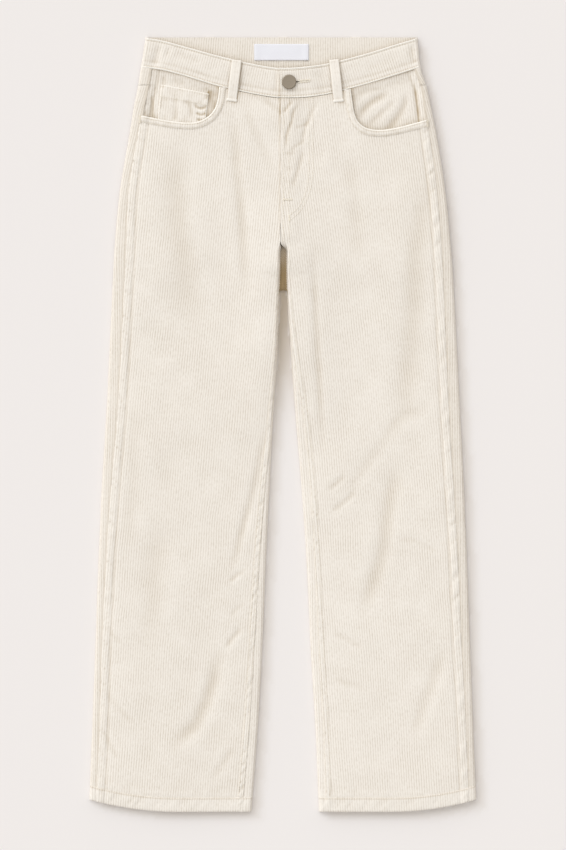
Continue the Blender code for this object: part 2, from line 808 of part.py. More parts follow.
def make_fly():
    tape_depth = CLOTH + GAP
    shield_depth = tape_depth + ZIP_TAPE + GAP
    make_fly_layer("zip_tape", ZIP_RANGE, ZIP_BOTTOM, ZIP_TOP, tape_depth, ZIP_TAPE,
                   material("zip_tape", CREAM_INSIDE, 0.9))
    make_fly_layer("fly_shield", SHIELD_RANGE, SHIELD_BOTTOM, SHIELD_TOP, shield_depth, LIGHT_CLOTH,
                   corduroy())
    low = SEAT_LIFT + LAID_HEIGHT - tape_depth + GAP
    left_side = [(SLIDER_BODY, SLIDER_HIGH), (SLIDER_BODY, SLIDER_NECK[1]),
                 (SLIDER_PULL, SLIDER_NECK[0]), (SLIDER_PULL, SLIDER_LOW)]
    slider = [(SLIDER_CENTRE - half, y) for half, y in left_side]
    slider += [(SLIDER_CENTRE + half, y) for half, y in reversed(left_side)]
    flat_patch("zip_slider", slider, low, low + CLOTH - GAP, material("zip_metal", ZIP_BRASS, 0.4, 1.0))


def main():
    for found in list(bpy.data.objects):
        bpy.data.objects.remove(found)
    bpy.context.scene.collection.children.link(bpy.data.collections.new(COLLECTION))
    for side in SIDE:
        make_front(side)
        make_back(side)
        make_yoke(side)
        make_hem(side)
        make_facing(side)
        make_mouth_edge(side)
        make_back_pocket(side)
        make_front_loop(side)
        make_back_loop("belt_loop_back_" + side, SIDE[side] * BACK_LOOP_OUT)
    make_waistband()
    make_coin_pocket()
    make_back_loop("belt_loop_back_centre", 0)
    make_label()
    make_button()
    make_fly()


main()
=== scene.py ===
import math
from collections import namedtuple

import bpy
import numpy as np
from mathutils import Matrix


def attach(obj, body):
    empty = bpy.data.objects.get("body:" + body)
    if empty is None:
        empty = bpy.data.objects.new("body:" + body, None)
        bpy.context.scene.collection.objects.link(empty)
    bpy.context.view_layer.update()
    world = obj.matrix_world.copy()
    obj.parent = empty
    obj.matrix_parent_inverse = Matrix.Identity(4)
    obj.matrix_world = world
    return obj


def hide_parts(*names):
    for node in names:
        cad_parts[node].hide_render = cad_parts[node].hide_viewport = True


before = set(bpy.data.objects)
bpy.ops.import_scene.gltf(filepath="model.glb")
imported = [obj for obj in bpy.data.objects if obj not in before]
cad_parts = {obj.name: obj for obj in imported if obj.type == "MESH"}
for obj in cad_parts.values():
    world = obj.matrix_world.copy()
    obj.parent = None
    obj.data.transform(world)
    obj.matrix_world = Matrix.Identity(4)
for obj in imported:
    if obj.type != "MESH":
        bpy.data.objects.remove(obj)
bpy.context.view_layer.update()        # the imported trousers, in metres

mm = 0.001
print("frame loaded:", len(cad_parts), "nodes")

# Everything below works in millimetres: x to the wearer's left, y up to the waist, z off the floor.
# Meshes are turned into metres when they are made.

cloth = {
    "wall": 1.5,             # corduroy
    "doubleWall": 2.6,       # folded double: waistband and hems
    "lightWall": 1.2,        # facings, coin pocket, pocket edges
    "walePitch": 3.36,
    "waleDepth": 0.42,
    "waleRoundness": 2.2,
    "columnsPerWale": 3,
    "wander": 0.9,           # how far the wales stray from straight
    "fineWander": 0.35,
    "seam": 0.15,            # each piece stops this far from its seam line
    "gap": 0.3,
}
laid = {
    "height": 6.9,           # from the underside to the front face
    "seatLift": 1.6,         # the seat lies on its back pockets
    "seatFrom": 150,
    "seatFull": 235,
    "frontCrotch": 241,
    "backCrotch": 184,
    "crotchEase": {"right": 5, "left": 6},
    "crown": 3.2,            # how far the leg swells above its edges
    "crownEase": 20,
    "swell": 0.9,            # slow unevenness of the cloth
    "swellSize": 75,
    "fineSwell": 0.35,       # a second swell, this much smaller and lower
    "foldGain": 0.95,
    "edgeDrop": 2.3,         # above 1 the side folds lie closer to the floor
    "thigh": 7.0,            # bulk of the crossing seams at the top of the inner legs
    "thighReach": 48,
    "thighFoot": (-60, 130),
    "thighHead": (225, 330),
}
foldRadius = laid["height"] / 2
quarter = math.pi * foldRadius / 2
seam = cloth["seam"]
columnStep = cloth["walePitch"] / cloth["columnsPerWale"]
sideSign = {"right": -1, "left": 1}

# Outline of each half. out is measured from the centre line; outseam and inseam are lengths of cloth
# from the outermost line of the side fold up onto the front, negative ones are under the leg.
legRow = namedtuple("legRow", "y outer outseam inner inseam")
legRows = {
    "right": [
        legRow(530, 188.5, 16.0, 3.0, -1.5),
        legRow(488, 195.0, 15.5, 3.0, -1.5),
        legRow(460, 199.5, 15.5, 3.0, -1.5),
        legRow(433, 205.0, 15.0, 3.0, -1.5),
        legRow(404, 209.5, 14.0, 3.0, -1.5),
        legRow(321, 223.5, 14.0, 3.0, -1.5),
        legRow(240, 231.0, 18.0, 3.0, -1.5),
        legRow(184, 234.0, 18.0, 4.5, -1.5),
        legRow(100, 238.0, 18.0, 7.5, -1.5),
        legRow(10, 242.5, 17.0, 13.0, 1.0),
        legRow(-77, 248.0, 15.0, 17.5, 6.7),
        legRow(-186, 253.0, 12.5, 23.0, 10.0),
        legRow(-296, 257.0, 11.0, 27.5, 12.0),
        legRow(-414, 261.5, 12.0, 34.0, 13.0),
        legRow(-532, 266.5, 12.0, 43.0, 14.0),
    ],
    "left": [
        legRow(530, 185.0, 9.0, 5.0, -1.5),
        legRow(488, 189.5, 9.0, 5.0, -1.5),
        legRow(460, 198.5, 8.6, 5.0, -1.5),
        legRow(433, 204.0, 10.5, 5.0, -1.5),
        legRow(404, 210.0, 12.0, 5.0, -1.5),
        legRow(321, 223.0, 13.5, 5.0, -1.5),
        legRow(240, 231.0, 15.0, 5.0, -1.5),
        legRow(184, 235.0, 16.0, 5.8, -1.5),
        legRow(100, 239.5, 17.0, 10.5, 4.0),
        legRow(10, 244.0, 17.5, 17.5, 11.5),
        legRow(-77, 248.5, 16.7, 24.6, 13.4),
        legRow(-186, 253.0, 14.5, 32.5, 12.3),
        legRow(-296, 257.0, 13.8, 37.5, 12.4),
        legRow(-414, 261.5, 12.2, 44.5, 12.0),
        legRow(-532, 266.5, 12.7, 49.5, 10.5),
    ],
}

# How far the wales lean from upright, in degrees; their feet lean outwards.
grainRow = namedtuple("grainRow", "y tilt")
grainRows = {
    "right": [grainRow(530, 5.5), grainRow(300, 6.2), grainRow(100, 6.0), grainRow(-100, 5.2),
              grainRow(-300, 4.8), grainRow(-540, 4.6)],
    "left": [grainRow(530, 6.0), grainRow(300, 7.6), grainRow(180, 7.2), grainRow(50, 5.8),
             grainRow(-100, 4.8), grainRow(-300, 4.2), grainRow(-540, 3.8)],
}


def smoothstep(low, high, value):
    t = np.clip((value - low) / (high - low), 0.0, 1.0)
    return t * t * (3 - 2 * t)


def mix(a, b, t):
    return a + (b - a) * t


def bell(distance, width):
    return np.exp(-((distance / width) ** 2))


def readTable(rows, key, column, value):
    # smooth curve through one column of a table; straight beyond its ends
    rows = sorted(rows, key=lambda row: getattr(row, key))
    xs = np.array([getattr(row, key) for row in rows], float)
    ys = np.array([getattr(row, column) for row in rows], float)
    slopes = np.empty_like(ys)
    slopes[1:-1] = (ys[2:] - ys[:-2]) / (xs[2:] - xs[:-2])
    slopes[0] = (ys[1] - ys[0]) / (xs[1] - xs[0])
    slopes[-1] = (ys[-1] - ys[-2]) / (xs[-1] - xs[-2])
    value = np.asarray(value, float)
    i = np.clip(np.searchsorted(xs, value, side="right") - 1, 0, len(xs) - 2)
    span = xs[i + 1] - xs[i]
    t = (value - xs[i]) / span
    c = np.clip(t, 0.0, 1.0)
    h = 1 - c
    bend = slopes[i] * span * h * h * c - slopes[i + 1] * span * c * c * h
    inside = ys[i] * h * h * (1 + 2 * c) + ys[i + 1] * c * c * (3 - 2 * c) + bend
    over = (t - c) * span * np.where(t < 0, slopes[i], slopes[i + 1])
    return inside + over


def softNoise(x, y, size, seed):
    # smooth unevenness between -1 and 1, about size across
    lattice = np.random.default_rng(seed).uniform(-1, 1, (97, 97))
    gx, gy = np.asarray(x) / size + 400, np.asarray(y) / size + 400
    ix, iy = np.floor(gx).astype(int), np.floor(gy).astype(int)
    tx, ty = smoothstep(0, 1, gx - ix), smoothstep(0, 1, gy - iy)
    corner = [[lattice[(ix + a) % 97, (iy + b) % 97] for b in (0, 1)] for a in (0, 1)]
    low = mix(corner[0][0], corner[1][0], tx)
    high = mix(corner[0][1], corner[1][1], tx)
    return mix(low, high, ty)


def outline(side, column, y):
    return readTable(legRows[side], "y", column, y)


grainHeights = np.linspace(-600, 600, 601)
grainShifts = {}
for side in sideSign:
    slopesAlong = np.tan(np.radians(readTable(grainRows[side], "y", "tilt", grainHeights)))
    grainShifts[side] = np.cumsum(slopesAlong) * (grainHeights[1] - grainHeights[0])


def grainShift(side, y):
    # how far inwards a wale has moved at this height
    return np.interp(y, grainHeights, grainShifts[side])


# Waist tables: the band's two edges on the front, and the hip pocket mouths
bandRow = namedtuple("bandRow", "x top bottom")
bandRows = [
    bandRow(-192, 530.0, 488.0), bandRow(-168, 526.5, 485.0), bandRow(-141, 519.5, 478.5),
    bandRow(-86, 504.5, 462.0), bandRow(-31, 492.0, 450.0), bandRow(3, 488.0, 446.0),
    bandRow(51, 492.5, 449.5), bandRow(106, 505.5, 463.0), bandRow(160, 522.0, 479.5),
    bandRow(186, 529.5, 488.0),
]
mouthRow = namedtuple("mouthRow", "out y")
mouthRows = {
    "right": [mouthRow(87.3, 462.0), mouthRow(89.0, 447.0), mouthRow(93.0, 433.0), mouthRow(103.0, 421.0),
              mouthRow(120.0, 413.5), mouthRow(150.0, 414.5), mouthRow(198.0, 423.5)],
    "left": [mouthRow(93.5, 459.0), mouthRow(95.0, 446.0), mouthRow(98.0, 427.0), mouthRow(104.0, 413.5),
             mouthRow(118.0, 404.5), mouthRow(145.0, 404.0), mouthRow(200.0, 417.5)],
}
fly = {
    "edge": -3.2, "under": 9.3, "raise": 1.8, "flat": 10, "down": 30, "bottom": 275, "ease": 15,
}
hem = {
    "level": -531.5, "lift": 17, "liftShare": 0.55, "depth": 20,
    "ridge": 0.3, "ridgeAt": 5, "ridgePucker": 1.2,
}
yokeLine = {"side": 463.5, "centre": 418}
seams = {
    "sideRidge": 0.5, "sideEnds": (7.5, 12.0), "sideTrough": 0.5, "troughAt": 12.5, "troughWidth": 2.5,
    "inseamRidge": 0.5, "inseamEnds": (6.5, 9.5),
    "inseamDitches": ((1.8, 0.5, 0.8), (7.4, 0.6, 0.9)),   # place, depth and width of each row of stitches
    "ditch": 0.35,
    "pucker": 1.5, "puckerSlant": 0.8, "sidePucker": 5.2, "inseamPucker": 3.8,
    "slowPucker": 0.4, "slowPuckerSize": 26,
    "tuckDepth": 0.9,        # how far a piece dives under its neighbour
    "tuckEase": 2.2,
}
loop = {
    "width": 14, "arch": 1.9, "raise": 2.2, "roll": 1.0, "rollWidth": 2.0, "foot": 1.8, "footAt": 1.8,
    "ends": {"right": ((-63.0, 498.5), (-70.0, 441.5)), "left": ((70.0, 499.0), (76.5, 440.5))},
    # sideShade to headShade: painted shade along the sides and ends, painted highlight inside the rolled
    # sides and on the folded foot
    "footRaise": 0.7, "footDitch": 0.4, "sideShade": 0.4, "highlightRows": 0.25, "highlightFoot": 0.45,
    "footShade": 0.35, "headShade": 0.25, "acrossFrom": 50.4,
    "backOut": 100, "backTop": 531.5, "backBottom": 474, "backWall": 1.3, "backRoll": 0.8,
}

# Painted shade and painted light: how much darker and warmer hollows are coloured, and how much lighter
# ridges: shares per millimetre at two sizes, then in the corners under the band, beside the belt loops
# and inside the pocket mouths.
shading = {
    "fine": 0.42, "fineReach": 2.6, "broad": 0.085, "broadReach": 11, "trough": 0.08, "crease": 0.12,
    # painted highlight: the most that ridges are painted lighter
    "wearAndHighlight": 0.14,            # the most that ridges are lighter
    "underBand": 0.3, "underBandReach": 1.8, "nearBand": 0.08, "nearBandReach": 9,
    "besideLoop": (0.2, 0.55), "besideLoopReach": 1.7,
    "rim": 0.45, "rimReach": 2.4, "nearRim": 0.14, "nearRimReach": 10,
    "facingCrease": 0.09, "sideStrip": 0.07, "sideSeam": 0.25, "rightLeg": 0.02,
    "sharpFold": 3,          # folds narrower than this are shaded as creases
    "flyLine": (0.3, 0.9), "flyLineReach": 1.1,
    "crotch": (1.05, 0.55), "crotchHeights": (202, 246), "crotchWidths": (14, 34),
}


def underside(y):
    return laid["seatLift"] * smoothstep(laid["seatFrom"], laid["seatFull"], y)


def outseamOut(side, y):
    return outline(side, "outer", y) - (outline(side, "outseam", y) - quarter + foldRadius)


def inseamOut(side, y):
    return outline(side, "inner", y) + foldRadius - quarter + outline(side, "inseam", y)


def centreFrontOut(side, y):
    if side == "left":
        return fly["edge"] + seam + 0 * y
    tuck = smoothstep(fly["bottom"], fly["bottom"] + fly["ease"], y)
    return -fly["edge"] + seam - (fly["under"] + seam) * tuck


def bandBottom(x):
    return readTable(bandRows, "x", "bottom", x)


def bandTop(x):
    return readTable(bandRows, "x", "top", x)


def mouthY(side, out):
    inside = readTable(mouthRows[side], "out", "y", out)
    return np.where(out < mouthRows[side][0].out, 1e4, inside)


def hemY(side, x):
    outer = outline(side, "outer", hem["level"])
    inner = outline(side, "inner", hem["level"])
    share = (outer - np.abs(x)) / (outer - inner)
    return hem["level"] + hem["lift"] * np.maximum(0.0, 1 - share / hem["liftShare"]) ** 2


# Folds of the front layer, each a line of a few points. A positive depth is a trough, a negative one
# a ridge; shoulder raises the cloth beside it, on the left of the line or, when negative, on its right.
foldRow = namedtuple("foldRow", "line width depth shoulder")
frontFolds = [
    foldRow([(-137, 405), (-146, 330), (-143, 275), (-128, 167), (-118, 100)], 20, 1.2, 0.3),
    foldRow([(-69, 440), (-66, 389), (-58, 300), (-53, 223), (-50, 165)], 9, 1.2, -0.5),
    foldRow([(-59, 446), (-38, 400), (-11, 340)], 8, 0.6, 0.3),
    foldRow([(-31, 446), (-14, 436), (3, 421)], 4, 0.7, 0.3),
    foldRow([(-24, -2), (-36, -70), (-54, -140), (-74, -212)], 6, 0.9, 0.4),
    foldRow([(-49, -200), (-62, -206), (-76, -219)], 3.5, 0.7, 0.5),
    foldRow([(-50, -246), (-62, -252), (-73, -265)], 3.5, 0.5, 0.4),
    foldRow([(-54, -277), (-66, -290), (-81, -309)], 4, 0.9, 0.5),
    foldRow([(-78, -300), (-90, -327), (-97, -356), (-110, -392), (-122, -414), (-146, -436), (-160, -452)],
            10, 1.4, 0.2),
    foldRow([(-64, -440), (-80, -462), (-100, -490)], 6, 0.6, -0.4),
    foldRow([(-210, 60), (-205, -60), (-215, -190)], 12, 0.6, 0.3),
    foldRow([(-170, -120), (-176, -230), (-190, -330)], 18, 0.7, 0.3),
    foldRow([(-246, -360), (-226, -388), (-200, -412)], 5, 0.5, 0.3),
    foldRow([(-246, -270), (-232, -290), (-215, -302)], 4, 0.45, 0.3),
    foldRow([(-247, -415), (-236, -440), (-224, -462)], 4, 0.5, 0.3),
    foldRow([(212, 397), (198, 320), (184, 238), (176, 96), (165, 20), (148, -60)], 17, 1.35, -0.3),
    foldRow([(216, 48), (190, 20), (161, 8), (130, -35), (105, -71), (65, -118)], 9, 0.6, 0.2),
    foldRow([(160, -40), (150, -90), (143, -130), (137, -174), (122, -225), (100, -277)], 12, 1.3, -0.3),
    foldRow([(150, -156), (180, -160), (216, -176)], 5, 0.5, 0.3),
    foldRow([(41, 262), (42, 230), (47, 110), (54, -15), (57, -60)], 6, 0.9, -0.3),
    foldRow([(58, -92), (72, -82), (89, -67)], 4, 0.8, 0.5),
    foldRow([(62, -121), (80, -110), (104, -88)], 4, 0.8, 0.5),
    foldRow([(65, -285), (88, -294), (113, -308)], 4.5, 0.7, 0.4),
    foldRow([(66, -346), (90, -355), (118, -364)], 5, 0.5, 0.4),
    foldRow([(222, -300), (206, -350), (188, -400), (176, -436)], 10, 0.9, 0.4),
    foldRow([(69, 397), (62, 370), (57, 341)], 8, -0.6, 0.0),
    foldRow([(93, 385), (98, 300), (105, 207)], 12, 0.6, 0.2),
    foldRow([(26, 442), (15, 428), (12, 414), (5, 395), (4, 372)], 2.4, 1.0, -0.5),
    foldRow([(29, 380), (24, 360), (18, 340), (11, 318)], 3.5, 0.9, -0.5),
    foldRow([(52, 448), (42, 432), (30, 404), (24, 372)], 3.6, 0.8, 0.4),
    foldRow([(14, 444), (5, 432), (-1, 424)], 2.6, 1.0, 0.5),
    foldRow([(38, 414), (26, 408), (14, 406)], 2.4, 0.6, 0.5),
    foldRow([(32, 388), (20, 382), (8, 372)], 2.4, 0.6, 0.5),
    foldRow([(1, 372), (10, 370), (19, 374)], 2.6, 0.4, 0.4),
    foldRow([(1, 352), (10, 349), (18, 352)], 2.6, 0.4, 0.4),
    foldRow([(2, 334), (9, 331), (17, 333)], 2.6, 0.35, 0.4),
]
backFolds = [
    foldRow([(-130, 380), (-120, 250), (-140, 120)], 22, 1.5, 0.0),
    foldRow([(-30, 170), (-90, 60), (-110, -60)], 16, 1.6, 0.0),
    foldRow([(-210, -20), (-150, -60), (-90, -70)], 13, 1.3, 0.0),
    foldRow([(-60, -280), (-110, -370), (-150, -450)], 18, 1.4, 0.0),
    foldRow([(130, 370), (150, 230), (120, 110)], 20, 1.5, 0.0),
    foldRow([(30, 165), (80, 50), (120, -70)], 16, 1.7, 0.0),
    foldRow([(215, -30), (160, -50), (100, -80)], 12, 1.3, 0.0),
    foldRow([(200, -300), (150, -390), (110, -470)], 18, 1.3, 0.0),
]


def smoothLine(points, parts=5):
    # the points joined by a smooth curve
    points = np.array(points, float)
    padded = np.vstack([2 * points[0] - points[1], points, 2 * points[-1] - points[-2]])
    made = []
    for a, b, c, d in zip(padded, padded[1:], padded[2:], padded[3:]):
        for t in np.arange(parts) / parts:
            made.append(0.5 * (2 * b + (c - a) * t + (2 * a - 5 * b + 4 * c - d) * t * t
                               + (3 * b - a - 3 * c + d) * t ** 3))
    made.append(points[-1])
    return np.array(made)


foldShape = {"reach": 4, "fade": 0.3, "uneven": 0.25, "unevenSize": 3, "shoulder": 0.6, "shoulderAt": 1.7}


def foldHeight(folds, x, y):
    x, y = np.asarray(x, float), np.asarray(y, float)
    height = np.zeros(np.broadcast(x, y).shape)
    for fold in folds:
        line = smoothLine(fold.line)
        reach = foldShape["reach"] * fold.width
        near = ((x > line[:, 0].min() - reach) & (x < line[:, 0].max() + reach)
                & (y > line[:, 1].min() - reach) & (y < line[:, 1].max() + reach))
        if not near.any():
            continue
        px, py = x[near], y[near]
        nearest = np.full(px.shape, 1e9)
        signed = np.zeros(px.shape)
        along = np.zeros(px.shape)
        run = 0.0
        for (x0, y0), (x1, y1) in zip(line, line[1:]):
            dx, dy = x1 - x0, y1 - y0
            length = math.hypot(dx, dy)
            t = np.clip(((px - x0) * dx + (py - y0) * dy) / length ** 2, 0, 1)
            ax, ay = px - x0 - dx * t, py - y0 - dy * t
            away = np.hypot(ax, ay)
            closer = away < nearest
            nearest = np.where(closer, away, nearest)
            signed = np.where(closer, np.sign(dx * ay - dy * ax) * away, signed)
            along = np.where(closer, run + t * length, along)
            run += length
        fade = foldShape["fade"] * run
        ends = smoothstep(0, fade, along) * smoothstep(0, fade, run - along)
        uneven = 1 + foldShape["uneven"] * softNoise(px, py, foldShape["unevenSize"] * fold.width, 11)
        beside = math.copysign(foldShape["shoulderAt"], fold.shoulder) * fold.width
        shape = -bell(signed, fold.width)
        shape += foldShape["shoulder"] * abs(fold.shoulder) * bell(signed - beside, fold.width)
        height[near] += fold.depth * ends * uneven * shape
    return height


def seamRelief(side, x, y):
    # the allowances pressed under the front: puckered flat ridges along the side seam and the inseam
    out = sideSign[side] * x
    slant = seams["puckerSlant"] * out
    seed = 21 if side == "right" else 22
    fromSide = outseamOut(side, y) - out
    wavy = 1 + seams["pucker"] * softNoise(y - slant, 0 * y, seams["sidePucker"], seed)
    wavy = wavy + seams["slowPucker"] * softNoise(y, 0 * y, seams["slowPuckerSize"], seed + 1)
    ridge = smoothstep(-0.3, 1.8, fromSide) * (1 - smoothstep(*seams["sideEnds"], fromSide))
    height = seams["sideRidge"] * wavy * ridge
    height = height - seams["sideTrough"] * bell(fromSide - seams["troughAt"], seams["troughWidth"])
    height -= seams["ditch"] * bell(fromSide, 1.1)
    legShare = 1 - smoothstep(laid["frontCrotch"] - 30, laid["frontCrotch"], y)
    fromInseam = out - inseamOut(side, y)
    wavy = 1 + seams["pucker"] * softNoise(y + slant, 0 * y, seams["inseamPucker"], seed + 10)
    ridge = smoothstep(-0.2, 1.6, fromInseam) * (1 - smoothstep(*seams["inseamEnds"], fromInseam))
    ditches = bell(fromInseam, 1.0)
    for at, depth, width in seams["inseamDitches"]:
        ditches = ditches + depth * bell(fromInseam - at, width)
    return height + legShare * (seams["inseamRidge"] * wavy * ridge - seams["ditch"] * ditches)


def frontRelief(side, x, y):
    out = sideSign[side] * x
    outer, inner = outline(side, "outer", y), outline(side, "inner", y)
    fromInner = out - inner + 400 * smoothstep(laid["frontCrotch"] - 40, laid["frontCrotch"] + 40, y)
    near = np.minimum(outer - out, fromInner)
    low = smoothstep(500, 420, y) * (1 - smoothstep(-470, -530, y) * 0.5)
    height = laid["crown"] * low * (1 - np.exp(-np.maximum(near, 0) / laid["crownEase"]))
    height += laid["foldGain"] * foldHeight(frontFolds, x, y)
    height += laid["swell"] * softNoise(x, y, laid["swellSize"], 5)
    height += laid["fineSwell"] * laid["swell"] * softNoise(x, y, laid["fineSwell"] * laid["swellSize"], 6)
    aboveHem = y - (hemY(side, x) + hem["depth"])
    wavy = 1 + hem["ridgePucker"] * softNoise(x, 0 * x, 7, 41)
    height += hem["ridge"] * wavy * bell(aboveHem - hem["ridgeAt"], 3.5)
    thigh = laid["thigh"] * bell(np.maximum(out - inner, 0), laid["thighReach"])
    height += thigh * smoothstep(*laid["thighFoot"], y) * (1 - smoothstep(*laid["thighHead"], y))
    return height + seamRelief(side, x, y)


def backRelief(x, y):
    return np.maximum(0.0, -foldHeight(backFolds, x, y)) * smoothstep(480, 400, y) * smoothstep(-530, -500, y)


def cavity(height, x, y, gain=1.0):
    # painted shade and painted light: positive in hollows, negative on ridges
    here = height(x, y)
    shade = 0 * here
    for reach, share in ((shading["fineReach"], shading["fine"]), (shading["broadReach"], shading["broad"])):
        turns = np.arange(6) * math.pi / 3
        around = [height(x + reach * math.cos(turn), y + reach * math.sin(turn)) for turn in turns]
        shade = shade + share * gain * (np.mean(around, axis=0) - here)
    return shade


def besideLoops(x, y):
    # painted shadow round the belt loops, deeper on the side away from the light
    shade = 0 * x
    for (topX, topY), (footX, footY) in loop["ends"].values():
        share = np.clip((y - footY) / (topY - footY), 0, 1)
        away = x - mix(footX, topX, share)
        past = np.maximum(np.abs(away) - loop["width"] / 2, 0)
        past = np.hypot(past, np.maximum(np.maximum(footY - y, y - topY), 0))
        depth = np.where(away > 0, shading["besideLoop"][1], shading["besideLoop"][0])
        shade = shade + depth * np.exp(-past / shading["besideLoopReach"])
    return shade


def bandShadow(x, y):
    below = np.maximum(bandBottom(x) - y, 0)
    shade = shading["underBand"] * np.exp(-below / shading["underBandReach"])
    return shade + shading["nearBand"] * np.exp(-below / shading["nearBandReach"])


def frontShade(side, x, y):
    shade = np.maximum(cavity(lambda a, b: frontRelief(side, a, b), x, y), -shading["wearAndHighlight"])
    shade = shade + bandShadow(x, y) + besideLoops(x, y)
    shade = shade + shading["trough"] * np.maximum(0, -foldHeight(frontFolds, x, y))
    creases = [fold for fold in frontFolds if fold.width < shading["sharpFold"]]
    shade = shade + shading["crease"] * np.maximum(0, -foldHeight(creases, x, y))
    if side == "right":
        line, deepest = shading["flyLine"]
        line = line + deepest * bell(y - 433, 17)
        fromEdge = np.maximum(fly["edge"] - x, 0)
        shade = shade + line * np.exp(-fromEdge / shading["flyLineReach"]) * smoothstep(255, 275, y)
        shade = shade + shading["rightLeg"] * smoothstep(250, 50, y)
    return shade


def crotchCentre(x, y):
    # 1 on the back where it shows between the fronts
    centre = 1 - smoothstep(*shading["crotchWidths"], np.abs(x))
    return centre * smoothstep(laid["backCrotch"] - 12, laid["backCrotch"] - 2, y)


def backShade(side, x, y):
    out = sideSign[side] * x
    fromSeam = out - outseamOut(side, y)
    strip = shading["sideStrip"] + shading["sideSeam"] * np.exp(-np.maximum(fromSeam, 0) / 1.3)
    deep = mix(*shading["crotch"], smoothstep(*shading["crotchHeights"], y))
    return np.where(fromSeam > -4, strip, deep * crotchCentre(x, y))


def foldProfile(length):
    # how far in and how far up a length of cloth reaches from the outermost line of a fold
    reach = np.abs(length)
    angle = np.minimum(reach, quarter) / foldRadius
    inset = foldRadius * (1 - np.cos(angle)) + np.maximum(0.0, reach - quarter)
    share = (1 + np.sign(length) * np.sin(angle)) / 2
    return inset, foldRadius * (2 * share ** laid["edgeDrop"] - 1)


def settle(side, out, y, rise):
    # a point of the leg's tube, with the relief of the layer it is on
    x = sideSign[side] * out
    top = np.maximum(rise, 0) / foldRadius
    low = np.maximum(-rise, 0) / foldRadius
    z = underside(y) + foldRadius + rise + frontRelief(side, x, y) * top + backRelief(x, y) * low
    return np.stack([x, y, z], axis=-1)


def joinedShare(side, y):
    # 0 on the separate legs, 1 where the fronts meet at the centre
    ease = laid["crotchEase"][side]
    return smoothstep(laid["frontCrotch"] - ease, laid["frontCrotch"] + ease, y)


def frontEdges(side, y):
    inner = inseamOut(side, y) + 2 * seam
    share = joinedShare(side, y)
    outer = outline(side, "outer", y) - foldRadius + quarter - outline(side, "outseam", y) - seam
    return mix(inner, centreFrontOut(side, y), share), outer


def frontOut(side, flat, y):
    outer, inner = outline(side, "outer", y), outline(side, "inner", y)
    insetOuter, riseOuter = foldProfile(outer - foldRadius + quarter - flat)
    insetInner, riseInner = foldProfile(flat - inner - foldRadius + quarter)
    legShare = 1 - joinedShare(side, y)
    nearInner = flat < (outer + inner) / 2
    out = np.where(nearInner, mix(flat, inner + insetInner, legShare), outer - insetOuter)
    rise = np.where(nearInner, mix(foldRadius, riseInner, legShare), riseOuter)
    return out, rise


def frontPoint(side, flat, y):
    out, rise = frontOut(side, flat, y)
    points = settle(side, out, y, rise)
    if side == "left":
        up = smoothstep(fly["bottom"] - 2 * fly["ease"], fly["bottom"] - fly["ease"], y)
        points[..., 2] += fly["raise"] * up * (1 - smoothstep(fly["flat"], fly["down"], points[..., 0]))
    return points


def frontTop(side, out, rise, y):
    return np.minimum(bandBottom(sideSign[side] * out), mouthY(side, out)) - seam


def backEdges(side, y):
    wrapped = outline(side, "inner", y) + foldRadius - quarter - outline(side, "inseam", y) + 2 * seam
    share = smoothstep(laid["backCrotch"] - 1, laid["backCrotch"], y)
    outer = outline(side, "outer", y) - foldRadius + quarter + outline(side, "outseam", y) - seam
    return mix(wrapped, seam, share), outer


def backOut(side, flat, y):
    # flat is the distance from the centre line of the cloth unrolled on the floor
    outer, inner = outline(side, "outer", y), outline(side, "inner", y)
    insetOuter, riseOuter = foldProfile(flat - outer + foldRadius - quarter)
    insetInner, riseInner = foldProfile(inner + foldRadius - quarter - flat)
    wrapShare = 1 - smoothstep(laid["backCrotch"] - 1, laid["backCrotch"], y)
    nearInner = flat < (outer + inner) / 2
    out = np.where(nearInner, mix(flat, inner + insetInner, wrapShare), outer - insetOuter)
    rise = np.where(nearInner, mix(-foldRadius, riseInner, wrapShare), riseOuter)
    return out, rise


def backPoint(side, flat, y):
    out, rise = backOut(side, flat, y)
    return settle(side, out, y, rise)


def yokeSeam(side, out, rise, y):
    under = mix(yokeLine["centre"], yokeLine["side"], out / outline(side, "outer", yokeLine["side"]))
    return np.where(rise > 0, yokeLine["side"], under)


def yokeBottom(side, out, rise, y):
    return yokeSeam(side, out, rise, y) + 2 * seam


def yokeTop(side, out, rise, y):
    band = np.minimum(bandBottom(sideSign[side] * out), 488)
    return np.where(rise > 0, band, 488) - seam


def hemTop(side, out, rise, y):
    return hemY(side, sideSign[side] * out) + hem["depth"] + seam


# Meshes

def makeMesh(name, points, faces, across=None, along=None, pile=None, shade=None):
    mesh = bpy.data.meshes.new(name)
    mesh.from_pydata((points * mm).tolist(), [], faces)
    mesh.shade_smooth()
    if across is not None:
        for kind, values in (("across", across * mm), ("pile", pile), ("shade", shade)):
            mesh.attributes.new(kind, "FLOAT", "POINT").data.foreach_set("value", values.astype(np.float32))
        corners = np.empty(len(mesh.loops), np.int32)
        mesh.loops.foreach_get("vertex_index", corners)
        grain = np.stack([across[corners], along[corners]], axis=-1) * mm
        mesh.uv_layers.new(name="grain").data.foreach_set("uv", grain.astype(np.float32).ravel())
    piece = bpy.data.objects.new(name, mesh)
    bpy.context.scene.collection.objects.link(piece)
    return piece


